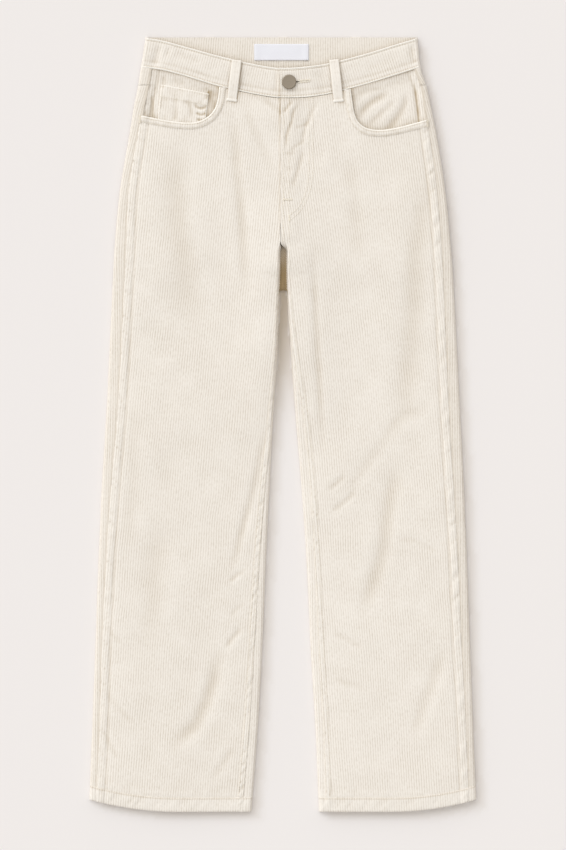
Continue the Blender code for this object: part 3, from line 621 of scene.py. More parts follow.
def clothShell(name, points, across, along, wall, pile=1.0, innerPile=0.0, innerAcross=None, shade=0.0,
               middle=None, closed=False):
    # A closed shell of cloth. points is a grid on its outer face, its rows across the wales, and middle
    # a height that the outer face looks away from.
    rows, columns = points.shape[:2]
    flat = points.reshape(-1, 3)
    keys = np.round(flat / 0.01).astype(np.int64)
    _, first, ids = np.unique(keys, axis=0, return_index=True, return_inverse=True)
    ids = ids.reshape(rows, columns)
    outer = flat[first]
    innerAcross = across if innerAcross is None else innerAcross
    spread = [np.broadcast_to(v, (rows, columns)).reshape(-1)[first]
              for v in (across, along, pile, shade, innerAcross, innerPile)]
    if closed:
        ids = np.hstack([ids, ids[:, :1]])
    quads = np.stack([ids[:-1, :-1], ids[:-1, 1:], ids[1:, 1:], ids[1:, :-1]], axis=-1).reshape(-1, 4)
    same = quads == np.roll(quads, -1, axis=1)
    crossed = (quads[:, 0] == quads[:, 2]) | (quads[:, 1] == quads[:, 3])
    keep = (same.sum(axis=1) <= 1) & ~crossed
    quads, same = quads[keep], same[keep]
    normals = np.cross(outer[quads[:, 2]] - outer[quads[:, 0]], outer[quads[:, 3]] - outer[quads[:, 1]])
    heights = outer[quads].mean(axis=1)[:, 2]
    level = underside(outer[quads].mean(axis=1)[:, 1]) + foldRadius if middle is None else middle
    if (normals[:, 2] * (heights - level)).sum() < 0:
        quads, same, normals = quads[:, ::-1], same[:, ::-1], -normals
        same = np.roll(same, -1, axis=1)
    pointNormals = np.zeros_like(outer)
    for corner in range(4):
        np.add.at(pointNormals, quads[:, corner], normals)
    pointNormals /= np.maximum(np.linalg.norm(pointNormals, axis=1, keepdims=True), 1e-9)
    inner = outer - pointNormals * wall
    count = len(outer)
    faces = []
    for quad, merged in zip(quads.tolist(), same.tolist()):
        faces.append([v for v, m in zip(quad, merged) if not m])
    edges = np.array([(f[i], f[(i + 1) % len(f)]) for f in faces for i in range(len(f))])
    codes = edges[:, 0] * count + edges[:, 1]
    rim = edges[~np.isin(edges[:, 1] * count + edges[:, 0], codes)]
    faces += [[v + count for v in reversed(f)] for f in faces]
    faces += [[b, a, a + count, b + count] for a, b in rim.tolist()]
    insides = [spread[4], spread[1], spread[5], spread[3]]
    both = [np.concatenate(pair) for pair in zip(spread, insides)]
    return makeMesh(name, np.concatenate([outer, inner]), faces, *both)


def columnRange(low, high):
    return np.arange(math.floor(low / columnStep), math.ceil(high / columnStep) + 1) * columnStep


def findHeight(side, place, edges, limit, columns, low, high):
    # for each wale line, the height at which it meets a limit line
    low, high = np.full(columns.shape, float(low)), np.full(columns.shape, float(high))
    for _ in range(22):
        y = (low + high) / 2
        start, end = edges(side, y)
        out, rise = place(side, np.clip(columns - grainShift(side, y), start, end), y)
        below = y < limit(side, out, rise, y)
        low, high = np.where(below, y, low), np.where(below, high, y)
    return (low + high) / 2


def grainSheet(name, side, heights, edges, place, point, bottom, top, wall, shadeOf, tuck=(0, 0, 0, 0),
               seen=False, slant=0.9, **values):
    # A piece of one half, its columns running along the wales and cut off at its four edges.
    # bottom and top are a limit line with the heights between which it is found. tuck is how far the
    # piece runs on under its neighbours: at its inner, outer, lower and upper edge.
    starts, ends = edges(side, heights)
    shifts = grainShift(side, heights)
    columns = columnRange((starts + shifts).min() - tuck[0], (ends + shifts).max() + tuck[1])
    yLow = findHeight(side, place, edges, bottom[0], columns, *bottom[1:])
    yHigh = findHeight(side, place, edges, top[0], columns, *top[1:])
    rows = np.clip(heights[:, None], yLow, yHigh)
    y = np.vstack([yLow - tuck[2], rows, yHigh + tuck[3]])
    start, end = edges(side, y)
    flat = np.clip(columns - grainShift(side, y), start - tuck[0], end + tuck[1])
    edge = np.minimum(flat - start, end - flat)
    wander = cloth["wander"] * softNoise(flat, y, 45, 51) + cloth["fineWander"] * softNoise(flat, y, 16, 52)
    points = point(side, flat + wander * smoothstep(0, 14, edge), y)
    beyond = np.maximum(-edge, np.maximum(yLow - y, y - yHigh))
    _, rise = place(side, np.clip(flat, start, end), y)
    points[..., 2] -= seams["tuckDepth"] * smoothstep(0, seams["tuckEase"], beyond) * rise / foldRadius
    across = flat + grainShift(side, y)
    pile = 0.45 + 0.55 * smoothstep(0, 2.0, -beyond)
    if seen:
        # an inside that shows between the fronts, its wales slanting
        centre = crotchCentre(points[..., 0], points[..., 1])
        values = {**values, "innerAcross": points[..., 0] + slant * y, "innerPile": 0.9 * centre}
    return clothShell(name, points, across, y, wall, pile=pile,
                      shade=shadeOf(side, points[..., 0], points[..., 1]), **values)


# Node trees: small helpers, then what repeats on the cloth

def addNode(tree, kind, inputs=None, **settings):
    node = tree.nodes.new(kind)
    for key, value in settings.items():
        setattr(node, key, value)
    for key, value in (inputs or {}).items():
        if isinstance(value, bpy.types.NodeSocket):
            tree.links.new(value, node.inputs[key])
        else:
            node.inputs[key].default_value = value
    return node


def mathNode(tree, operation, *values, kind="ShaderNodeMath"):
    return addNode(tree, kind, dict(enumerate(values)), operation=operation).outputs[0]


def newTree(name, kind, inputs, outputs):
    tree = bpy.data.node_groups.new(name, kind)
    for socketName, socketKind, value in inputs:
        socket = tree.interface.new_socket(socketName, in_out="INPUT", socket_type=socketKind)
        if value is not None:
            socket.default_value = value
    for socketName, socketKind in outputs:
        tree.interface.new_socket(socketName, in_out="OUTPUT", socket_type=socketKind)
    return tree, tree.nodes.new("NodeGroupInput").outputs, tree.nodes.new("NodeGroupOutput").inputs


def finishTree(tree, geometry, given, result):
    # real geometry with its material, as the end of every tree
    real = addNode(tree, "GeometryNodeRealizeInstances", {"Geometry": geometry})
    dyed = addNode(tree, "GeometryNodeSetMaterial",
                   {"Geometry": real.outputs[0], "Material": given["Material"]})
    tree.links.new(dyed.outputs[0], result["Geometry"])


def walesTree():
    # cuts the valleys between the wales into a fine grid of cloth
    tree, given, result = newTree(
        "corduroy wales", "GeometryNodeTree",
        [("Geometry", "NodeSocketGeometry", None), ("Pitch", "NodeSocketFloat", 0.003),
         ("Depth", "NodeSocketFloat", 0.0005), ("Roundness", "NodeSocketFloat", 2.0),
         ("Material", "NodeSocketMaterial", None)],
        [("Geometry", "NodeSocketGeometry")])
    across, pile = (
        addNode(tree, "GeometryNodeInputNamedAttribute", {"Name": name}, data_type="FLOAT").outputs[0]
        for name in ("across", "pile"))
    phase = mathNode(tree, "FRACT", mathNode(tree, "DIVIDE", across, given["Pitch"]))
    fromRidge = mathNode(tree, "ABSOLUTE", mathNode(tree, "MULTIPLY_ADD", phase, 2.0, -1.0))
    valley = mathNode(tree, "POWER", fromRidge, given["Roundness"])
    cut = mathNode(tree, "MULTIPLY", mathNode(tree, "MULTIPLY", valley, pile), given["Depth"])
    normal = tree.nodes.new("GeometryNodeInputNormal").outputs[0]
    inwards = {0: normal, "Scale": mathNode(tree, "MULTIPLY", cut, -1.0)}
    offset = addNode(tree, "ShaderNodeVectorMath", inwards, operation="SCALE").outputs[0]
    moved = addNode(tree, "GeometryNodeSetPosition", {"Geometry": given["Geometry"], "Offset": offset})
    finishTree(tree, moved.outputs[0], given, result)
    return tree


def stitchTree():
    # one small bead of thread for each stitch along a path of edges
    tree, given, result = newTree(
        "topstitch", "GeometryNodeTree",
        [("Geometry", "NodeSocketGeometry", None), ("Stitch Length", "NodeSocketFloat", 0.0024),
         ("Stitch Gap", "NodeSocketFloat", 0.0009), ("Thread", "NodeSocketFloat", 0.0007),
         ("Looseness", "NodeSocketFloat", 0.08), ("Seed", "NodeSocketInt", 0),
         ("Material", "NodeSocketMaterial", None)],
        [("Geometry", "NodeSocketGeometry")])
    curve = addNode(tree, "GeometryNodeMeshToCurve", {"Mesh": given["Geometry"]}).outputs[0]
    pitch = mathNode(tree, "ADD", given["Stitch Length"], given["Stitch Gap"])
    places = addNode(tree, "GeometryNodeCurveToPoints", {"Curve": curve, "Length": pitch}, mode="LENGTH")
    half = mathNode(tree, "MULTIPLY", given["Stitch Length"], 0.5)
    radius = mathNode(tree, "MULTIPLY", given["Thread"], 0.5)
    bead = addNode(tree, "GeometryNodeMeshUVSphere", {"Segments": 6, "Rings": 4, "Radius": 1.0})
    size = addNode(tree, "ShaderNodeCombineXYZ", {0: radius, 1: radius, 2: half}).outputs[0]
    thread = addNode(tree, "GeometryNodeTransform", {"Geometry": bead.outputs[0], "Scale": size})
    placed = addNode(tree, "GeometryNodeInstanceOnPoints",
                     {"Points": places.outputs["Points"], "Instance": thread.outputs[0],
                      "Rotation": places.outputs["Rotation"]})
    loose = given["Looseness"]
    low = addNode(tree, "ShaderNodeCombineXYZ", {i: mathNode(tree, "MULTIPLY", loose, -1.0) for i in (0, 1)})
    high = addNode(tree, "ShaderNodeCombineXYZ", {0: loose, 1: loose})
    turn = addNode(tree, "FunctionNodeRandomValue",
                   {0: low.outputs[0], 1: high.outputs[0], "Seed": given["Seed"]}, data_type="FLOAT_VECTOR")
    turned = addNode(tree, "GeometryNodeRotateInstances",
                     {"Instances": placed.outputs[0], "Rotation": turn.outputs[0]})
    smooth = addNode(tree, "GeometryNodeSetShadeSmooth", {"Geometry": turned.outputs[0]})
    finishTree(tree, smooth.outputs[0], given, result)
    return tree


def threadTree():
    # a thread of one thickness laid along a path of edges, for bar tacks and buttonholes
    tree, given, result = newTree(
        "laid thread", "GeometryNodeTree",
        [("Geometry", "NodeSocketGeometry", None), ("Thread", "NodeSocketFloat", 0.0006),
         ("Material", "NodeSocketMaterial", None)],
        [("Geometry", "NodeSocketGeometry")])
    curve = addNode(tree, "GeometryNodeMeshToCurve", {"Mesh": given["Geometry"]}).outputs[0]
    radius = mathNode(tree, "MULTIPLY", given["Thread"], 0.5)
    profile = addNode(tree, "GeometryNodeCurvePrimitiveCircle", {"Resolution": 6, "Radius": radius})
    tube = addNode(tree, "GeometryNodeCurveToMesh",
                   {"Curve": curve, "Profile Curve": profile.outputs[0], "Fill Caps": True})
    finishTree(tree, tube.outputs[0], given, result)
    return tree


def bake(piece, tree, values):
    # runs the tree on the piece and keeps the result as a plain mesh
    modifier = piece.modifiers.new(tree.name, "NODES")
    modifier.node_group = tree
    for item in tree.interface.items_tree:
        if item.item_type == "SOCKET" and item.in_out == "INPUT" and item.name in values:
            modifier[item.identifier] = values[item.name]
    evaluated = piece.evaluated_get(bpy.context.evaluated_depsgraph_get())
    made = bpy.data.meshes.new_from_object(evaluated)
    old = piece.data
    piece.modifiers.clear()
    piece.data = made
    bpy.data.meshes.remove(old)
    made.name = piece.name


# Materials

def grainGroup():
    # the look of the pile: valleys, streaks along the wales, fuzz and slow unevenness,
    # then painted shade in hollows and painted light on ridges
    tree, given, result = newTree(
        "corduroy pile", "ShaderNodeTree",
        [("Grain", "NodeSocketVector", None), ("Place", "NodeSocketVector", None),
         ("Ridge", "NodeSocketColor", (0.8, 0.75, 0.66, 1)),
         ("Valley", "NodeSocketColor", (0.6, 0.52, 0.42, 1)),
         ("Painted Shade", "NodeSocketColor", (0.4, 0.3, 0.17, 1)),
         ("Painted Light", "NodeSocketColor", (0.9, 0.86, 0.79, 1)),
         ("Pitch", "NodeSocketFloat", 0.00336), ("Streaks", "NodeSocketFloat", 0.5),
         ("Wear", "NodeSocketFloat", 0.5)],
        [("Color", "NodeSocketColor"), ("Roughness", "NodeSocketFloat"), ("Height", "NodeSocketFloat")])
    across = addNode(tree, "ShaderNodeSeparateXYZ", {0: given["Grain"]}).outputs[0]
    pile = addNode(tree, "ShaderNodeAttribute", attribute_name="pile").outputs["Fac"]
    phase = mathNode(tree, "FRACT", mathNode(tree, "DIVIDE", across, given["Pitch"]))
    fromRidge = mathNode(tree, "ABSOLUTE", mathNode(tree, "MULTIPLY_ADD", phase, 2.0, -1.0))
    # painted shade: the valleys between the wales are coloured darker
    valley = mathNode(tree, "MULTIPLY", mathNode(tree, "POWER", fromRidge, 3.0), pile)
    # painted shade where the shade attribute is positive, painted light where it is negative
    shade = addNode(tree, "ShaderNodeAttribute", attribute_name="shade").outputs["Fac"]
    stretched = addNode(tree, "ShaderNodeVectorMath", {0: given["Grain"], 1: (620.0, 210.0, 1.0)},
                        operation="MULTIPLY").outputs[0]
    streak = addNode(tree, "ShaderNodeTexNoise",
                     {"Vector": stretched, "Scale": 1.0, "Detail": 3.0}).outputs[0]
    fuzz, slow, brushed = (
        addNode(tree, "ShaderNodeTexNoise",
                {"Vector": given["Place"], "Scale": scale, "Detail": detail}).outputs[0]
        for scale, detail in ((1900.0, 2.0), (14.0, 2.0), (38.0, 3.0)))
    uneven = addNode(tree, "ShaderNodeMapRange",
                     {"Value": brushed, "From Min": 0.3, "From Max": 0.7,
                      "To Min": 0.55, "To Max": 1.45}).outputs[0]
    valley = mathNode(tree, "MULTIPLY", valley, uneven)
    streaky = mathNode(tree, "MULTIPLY", mathNode(tree, "SUBTRACT", streak, 0.5), given["Streaks"])
    wearAndHighlight = mathNode(tree, "MULTIPLY", mathNode(tree, "SUBTRACT", slow, 0.5), given["Wear"])
    depth = mathNode(tree, "ADD", mathNode(tree, "MULTIPLY", valley, 0.85),
                     mathNode(tree, "ADD", streaky, mathNode(tree, "MULTIPLY", wearAndHighlight, 0.4)))
    colour = given["Ridge"]
    # painted shade, a little deeper in the valleys between the wales
    hollow = mathNode(tree, "MULTIPLY", shade, mathNode(tree, "MULTIPLY_ADD", valley, 0.4, 0.92))
    for other, share in ((given["Valley"], depth), (given["Painted Shade"], hollow),
                         (given["Painted Light"], mathNode(tree, "MULTIPLY", shade, -1.0))):
        mixed = addNode(tree, "ShaderNodeMix", {"Factor": share}, data_type="RGBA")
        tree.links.new(colour, mixed.inputs[6])
        tree.links.new(other, mixed.inputs[7])
        colour = mixed.outputs[2]
    tree.links.new(colour, result["Color"])
    rough = addNode(tree, "ShaderNodeMapRange", {"Value": streak, "To Min": 0.82, "To Max": 0.98}).outputs[0]
    tree.links.new(rough, result["Roughness"])
    height = mathNode(tree, "MULTIPLY", mathNode(tree, "ADD", fuzz, streak), 0.5)
    tree.links.new(height, result["Height"])
    return tree


def newMaterial(name, **values):
    made = bpy.data.materials.new(name)
    made.use_nodes = True
    shader = made.node_tree.nodes["Principled BSDF"]
    for socketName, value in values.items():
        shader.inputs[socketName].default_value = value
    return made, made.node_tree, shader


def twoTones(tree, shader, share, first, second):
    # base colour between two tones
    tone = addNode(tree, "ShaderNodeMix", {"Factor": share, 6: (*first, 1), 7: (*second, 1)},
                   data_type="RGBA")
    tree.links.new(tone.outputs[2], shader.inputs["Base Color"])


def addBump(tree, shader, height, strength, distance):
    bump = addNode(tree, "ShaderNodeBump", {"Strength": strength, "Distance": distance, "Height": height})
    tree.links.new(bump.outputs[0], shader.inputs["Normal"])


def corduroyMaterial(name, ridge, valley, streaks, wear):
    values = {"Specular IOR Level": 0.2, "Sheen Weight": 0.25, "Sheen Roughness": 0.45,
              "Sheen Tint": (1.0, 0.97, 0.92, 1)}
    made, tree, shader = newMaterial(name, **values)
    grain = addNode(tree, "ShaderNodeUVMap", uv_map="grain").outputs[0]
    place = addNode(tree, "ShaderNodeTexCoord").outputs["Object"]
    pile = addNode(tree, "ShaderNodeGroup", node_tree=grainLook)
    given = {"Ridge": (*ridge, 1), "Valley": (*valley, 1), "Painted Shade": (*colours["hollow"], 1),
             "Painted Light": (*colours["paintedLight"], 1), "Pitch": cloth["walePitch"] * mm,
             "Streaks": streaks, "Wear": wear}
    for socketName, value in given.items():
        pile.inputs[socketName].default_value = value
    tree.links.new(grain, pile.inputs["Grain"])
    tree.links.new(place, pile.inputs["Place"])
    tree.links.new(pile.outputs["Color"], shader.inputs["Base Color"])
    tree.links.new(pile.outputs["Roughness"], shader.inputs["Roughness"])
    addBump(tree, shader, pile.outputs["Height"], 0.35, 0.0003)
    return made


def threadMaterial(name, light, dark):
    # twisted cotton: fine slanted bands of two tones
    made, tree, shader = newMaterial(name, **{"Roughness": 0.7, "Sheen Weight": 0.15})
    place = addNode(tree, "ShaderNodeTexCoord").outputs["Object"]
    twist = addNode(tree, "ShaderNodeTexWave",
                    {"Vector": place, "Scale": 900.0, "Distortion": 1.5, "Detail": 1.0},
                    bands_direction="DIAGONAL").outputs["Fac"]
    twoTones(tree, shader, twist, dark, light)
    addBump(tree, shader, twist, 0.5, 0.0001)
    return made


def labelMaterial(name, light, dark):
    # satin label: fine warp and weft
    made, tree, shader = newMaterial(name, **{"Roughness": 0.55, "Sheen Weight": 0.1})
    place = addNode(tree, "ShaderNodeTexCoord").outputs["Object"]
    warp = addNode(tree, "ShaderNodeTexWave", {"Vector": place, "Scale": 700.0}, bands_direction="X")
    weft = addNode(tree, "ShaderNodeTexWave", {"Vector": place, "Scale": 450.0}, bands_direction="Y")
    weave = mathNode(tree, "MULTIPLY", warp.outputs["Fac"], weft.outputs["Fac"])
    twoTones(tree, shader, weave, dark, light)
    addBump(tree, shader, weave, 0.4, 0.0001)
    return made


def metalMaterial(name, clean, dull, roughness, spread=0.08):
    # tumbled metal: cloudy tone and fine scratches
    made, tree, shader = newMaterial(name, Metallic=1.0)
    place = addNode(tree, "ShaderNodeTexCoord").outputs["Object"]
    cloud = addNode(tree, "ShaderNodeTexNoise", {"Vector": place, "Scale": 420.0, "Detail": 4.0}).outputs[0]
    fine = addNode(tree, "ShaderNodeTexNoise", {"Vector": place, "Scale": 3500.0, "Detail": 2.0}).outputs[0]
    rough = addNode(tree, "ShaderNodeMapRange",
                    {"Value": cloud, "To Min": roughness + spread, "To Max": roughness - spread}).outputs[0]
    tree.links.new(rough, shader.inputs["Roughness"])
    twoTones(tree, shader, cloud, dull, clean)
    addBump(tree, shader, fine, 0.25, 0.00005)
    return made


colours = {
    # valley colours the wales' valleys with painted shade; hollow is the painted shade colour, paintedLight
    # the painted light colour
    "ridge": (0.84, 0.79, 0.725), "valley": (0.645, 0.58, 0.495),
    "hollow": (0.38, 0.28, 0.15), "paintedLight": (0.92, 0.89, 0.83),
    "insideRidge": (0.80, 0.72, 0.60), "insideValley": (0.62, 0.52, 0.39),
    "threadLight": (0.90, 0.85, 0.75), "threadDark": (0.74, 0.66, 0.54),
    "labelThread": (0.90, 0.90, 0.94), "labelGap": (0.74, 0.74, 0.79),
    "button": (0.335, 0.285, 0.225), "buttonDull": (0.30, 0.255, 0.20),
    "zip": (0.62, 0.52, 0.32), "zipDull": (0.45, 0.36, 0.20),
}
grainLook = grainGroup()
corduroy = corduroyMaterial("corduroy", colours["ridge"], colours["valley"], 1.5, 0.35)
tapeCloth = threadMaterial("zip tape", colours["insideRidge"], colours["insideValley"])
thread = threadMaterial("cotton thread", colours["threadLight"], colours["threadDark"])
labelCloth = labelMaterial("label cloth", colours["labelThread"], colours["labelGap"])
buttonMetal = metalMaterial("tumbled button metal", colours["button"], colours["buttonDull"], 0.5)
zipMetal = metalMaterial("zip brass", colours["zip"], colours["zipDull"], 0.35)
wales = walesTree()
stitches = stitchTree()
laidThread = threadTree()
print("materials and node trees made")

waleValues = {"Pitch": cloth["walePitch"] * mm, "Depth": cloth["waleDepth"] * mm,
              "Roundness": cloth["waleRoundness"], "Material": corduroy}


def finishCloth(piece, nodes, flat, area, slot="corduroy", **values):
    # wales, then the piece attached to the root body and the model's parts it stands for hidden
    bake(piece, wales, {**waleValues, **values})
    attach(piece, "root")
    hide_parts(*nodes)


# Legs and seat

legPiece = {"rowStep": 4.2, "topRowStep": 3.2, "topFrom": 300, "backRowStep": 10.5}


def heightRows(low, high, step):
    return np.linspace(low, high, max(2, int(round((high - low) / step)) + 1))


for side in sideSign:
    legHeights = np.concatenate([heightRows(-520, legPiece["topFrom"], legPiece["rowStep"])[:-1],
                                 heightRows(legPiece["topFrom"], 496, legPiece["topRowStep"])])
    front = grainSheet("front_" + side, side, legHeights, frontEdges, frontOut, frontPoint,
                       (hemTop, -540, -480), (frontTop, 380, 500), cloth["wall"], frontShade,
                       tuck=(0, 0, 3, 0))
    finishCloth(front, ["front_panel_" + side], (0.27, 1.0), 0.215)
    crotchLine = laid["backCrotch"] - np.array([1.0, 0.0])
    backHeights = np.sort(np.concatenate([heightRows(-520, 470, legPiece["backRowStep"]), crotchLine]))
    back = grainSheet("back_" + side, side, backHeights, backEdges, backOut, backPoint,
                      (hemTop, -540, -480), (yokeSeam, 380, 480), cloth["wall"], backShade,
                      tuck=(2.5, 2.5, 3, 3), seen=True)
    finishCloth(back, ["back_panel_" + side], (0.29, 0.99), 0.25)
    yoke = grainSheet("yoke_" + side, side, heightRows(416, 492, 5), backEdges, backOut, backPoint,
                      (yokeBottom, 410, 480), (yokeTop, 440, 500), cloth["wall"], backShade,
                      tuck=(0, 2.5, 0, 3))
    finishCloth(yoke, ["back_yoke_" + side], (0.22, 0.07), 0.0115)
print("legs and seat made")


# Hems: a ring of double cloth round the foot of each leg

hemPiece = {
    "rows": (0, 0.5, 1.3, 2.6, 5, 8, 11, 14, 16.5, 18.4, 19.85),
    "roll": 1.1, "backRoll": 0.9, "rollWidth": 2.2,
    "puff": 0.5, "puffTop": 0.8,
    "rope": 0.4, "ropeSlant": 0.7, "ropeSize": 5.5,   # the slanting ridges a stitched hem pulls up
    "wearAndHighlight": 0.09, "ropeShade": 0.12, "stitchShade": 0.32,
}


def hemRow(side, height, columns, edges, place, point):
    # a row of the ring on the front or the back: its points, their place in the cloth, pile and shade
    y = np.full(columns.shape, hem["level"] + height)
    for _ in range(4):
        start, end = edges(side, y)
        flat = np.clip(columns - grainShift(side, y), start, end)
        out, rise = place(side, flat, y)
        y = hemY(side, sideSign[side] * out) + height
    points = point(side, flat, y)
    ropes = softNoise(points[..., 0] - hemPiece["ropeSlant"] * y, 0 * y, hemPiece["ropeSize"], 61)
    rolled = max(0.0, 1 - height / hemPiece["rollWidth"]) ** 2
    lift = hemPiece["puff"] * (bell(height - 9, 9) + hemPiece["puffTop"] * smoothstep(9, 17, height))
    lift = lift + hemPiece["rope"] * ropes * bell(height - 10, 7) * (rise > 0) - hemPiece["roll"] * rolled
    points[..., 2] += lift * np.maximum(rise, 0) / foldRadius
    points[..., 2] -= hemPiece["backRoll"] * rolled * np.minimum(rise, 0) / foldRadius
    # painted highlight on the raised middle of the hem, painted shade at the stitch row, painted light and
    # shade along the ropes
    wearAndHighlight = hemPiece["wearAndHighlight"] * smoothstep(0.5, 3, height) * (1 - smoothstep(15, 17.5, height))
    shade = hemPiece["stitchShade"] * bell(height - 18.6, 0.9) - wearAndHighlight
    shade = shade - hemPiece["ropeShade"] * ropes * bell(height - 13, 5)
    pile = 0.5 + 0.5 * smoothstep(0, 2, np.minimum(flat - start, end - flat))
    return points, flat + grainShift(side, y), y, pile, np.where(rise > 0, shade, 0)


def hemRing(side):
    widest = outline(side, "outer", hem["level"])
    fronts, backs = columnRange(0, widest + 20), columnRange(0, widest + 40)[::-1]
    rows = []
    for height in hemPiece["rows"]:
        halves = (hemRow(side, height, fronts, frontEdges, frontOut, frontPoint),
                  hemRow(side, height, backs, backEdges, backOut, backPoint))
        rows.append([np.concatenate(values) for values in zip(*halves)])
    points, across, along, pile, shade = (np.array(values) for values in zip(*rows))
    return clothShell("hem_band_" + side, points, across, along, cloth["doubleWall"], pile=pile, shade=shade,
                      closed=True)


for side in sideSign:
    finishCloth(hemRing(side), ["hem_" + side], (0.46, 0.0202), 0.0091)
print("hems made")


# Waistband: one strip from its right end, under the lap, round the back to its left end on top

band = {
    "backTop": 530.5, "backBottom": 488, "underEnd": 32, "lapEnd": (-2.8, -4.8),
    "lapRaise": 2.9, "lapFlat": 36, "lapDown": 58,
    "rowsFromEdge": (0, 0.5, 1.2, 2.2, 3.4, 4.8, 7, 10.5, 15),
    "swell": 0.5, "fineSwell": 0.25,
    "roll": 1.5, "rollWidth": 1.2, "pipe": 0.55, "pipeAt": 1.5, "ditch": 0.55, "ditchAt": 3.4,
    "hollow": 0.7, "hollowAt": 10,
    # painted highlight on the piped edges; painted shade in the ditches, the hollow, under the lap and inside
    # the back
    "wearAndHighlight": (0.42, 0.25), "ditchShade": 0.15, "hollowShade": 0.12, "underLap": 0.5,
    "inside": 0.05, "insideDeep": 0.3, "insideRow": 0.14, "insideRowAt": 513,
}
bandTilt = namedtuple("bandTilt", "x tilt")
bandTilts = [
    bandTilt(-189, 8.8), bandTilt(-154, 16.5), bandTilt(-113, 14), bandTilt(-93, 12.8), bandTilt(-31, 10.5),
    bandTilt(5, 0), bandTilt(37, -9.5), bandTilt(106, -15.5), bandTilt(147, -17), bandTilt(183, -6.1),
]
bandFolds = [
    foldRow([(-170, 524), (-172, 505), (-180, 486)], 6, 1.4, 0.5),
    foldRow([(-156, 520), (-158, 510), (-165, 496)], 4, 0.9, 0.5),
    foldRow([(-150, 512), (-130, 502), (-108, 498)], 4, 0.6, 0.4),
    foldRow([(-128, 484), (-100, 474), (-78, 468)], 3.5, 0.6, 0.4),
    foldRow([(-10, 486), (-9, 466), (-12, 450)], 3, 0.7, 0.4),
    foldRow([(178, 522), (177, 505), (184, 492)], 5, 1.2, 0.5),
    foldRow([(165, 508), (140, 496), (110, 486)], 4, 0.6, 0.4),
    foldRow([(20, 482), (40, 477), (60, 480)], 4, 0.4, 0.3),
]


def lapRaise(x):
    return band["lapRaise"] * (1 - smoothstep(band["lapFlat"], band["lapDown"], x))


def bandFace(x, y, raised=True):
    # height of the band's front
    low, high = bandBottom(x), bandTop(x)
    fromBottom, fromTop = y - low, high - y
    height = underside(y) + laid["height"] + (lapRaise(x) if raised else 0 * x)
    height += band["swell"] * laid["swell"] * softNoise(x, y, 40, 71)
    height += band["fineSwell"] * softNoise(x, y, 15, 72)
    height += foldHeight(bandFolds, x, y)
    uneven = 0.6 + 0.4 * softNoise(x, 0 * x, 30, 73)
    height -= band["hollow"] * bell(fromBottom - band["hollowAt"], 2.5) * uneven
    for away in (fromBottom, fromTop):
        height -= band["roll"] * np.maximum(0.0, 1 - np.maximum(away, 0) / band["rollWidth"]) ** 2
        height += band["pipe"] * bell(away - band["pipeAt"], 0.9)
        height -= band["ditch"] * bell(away - band["ditchAt"], 1.1)
    return height


def bandShade(x, y, raised):
    low, high = bandBottom(x), bandTop(x)
    shade = cavity(lambda a, b: bandFace(a, b, raised), x, y, 0.8) + besideLoops(x, y)
    # painted highlight on the piped edges, painted shade in the stitch ditches, the hollow and under the lap
    for away, wearAndHighlight in zip((y - low, high - y), band["wearAndHighlight"]):
        shade = shade - wearAndHighlight * bell(away - 1.2, 1.0) + band["ditchShade"] * bell(away - band["ditchAt"], 0.8)
    shade = shade + band["hollowShade"] * bell(y - low - band["hollowAt"] + 0.2, 1.3)
    if not raised:
        shade = shade + band["underLap"] * np.exp(-np.maximum(band["lapEnd"][0] - 1 - x, 0) / 1.5)
    return shade


def bandInsideShade(x, y):
    # painted shade on the back of the band seen over the top of the front
    above = y - bandTop(np.clip(x, -190, 184))
    shade = band["inside"] + band["insideDeep"] * np.exp(-np.maximum(above, 0) / 4)
    return shade + band["insideRow"] * bell(y - band["insideRowAt"], 1.0)


def bandEdge(side, share):
    return outline(side, "outer", mix(band["backBottom"], band["backTop"], share))


def bandStrip(share, xs, raised):
    # a row of the band on the front, each point moved along its leaning wale
    lean = np.tan(np.radians(readTable(bandTilts, "x", "tilt", xs)))
    x = xs + lean * (share - 0.5) * (bandTop(xs) - bandBottom(xs))
    if raised:
        x = np.maximum(x, mix(*band["lapEnd"], share))
    y = mix(bandBottom(x) + seam, bandTop(x), share)
    return np.stack([x, y, bandFace(x, y, raised)], axis=-1), bandShade(x, y, raised)


def bandFold(side, share, turn):
    # the same row round a side fold
    inset, rise = foldProfile(turn)
    x = sideSign[side] * (bandEdge(side, share) - inset)
    y = mix(band["backBottom"] + seam, band["backTop"], share) + 0 * x
    extra = (bandFace(x, y, False) - underside(y) - laid["height"]) * np.maximum(rise, 0)
    return np.stack([x, y, underside(y) + foldRadius + rise + extra / foldRadius], axis=-1), 0 * turn


def bandBack(share, count):
    # the same row across the back
    ends = [sideSign[side] * (bandEdge(side, share) - foldRadius) for side in sideSign]
    x = mix(*ends, np.linspace(0, 1, count))
    y = mix(band["backBottom"] + seam, band["backTop"], share) + 0 * x
    return np.stack([x, y, underside(y)], axis=-1), bandInsideShade(x, y)


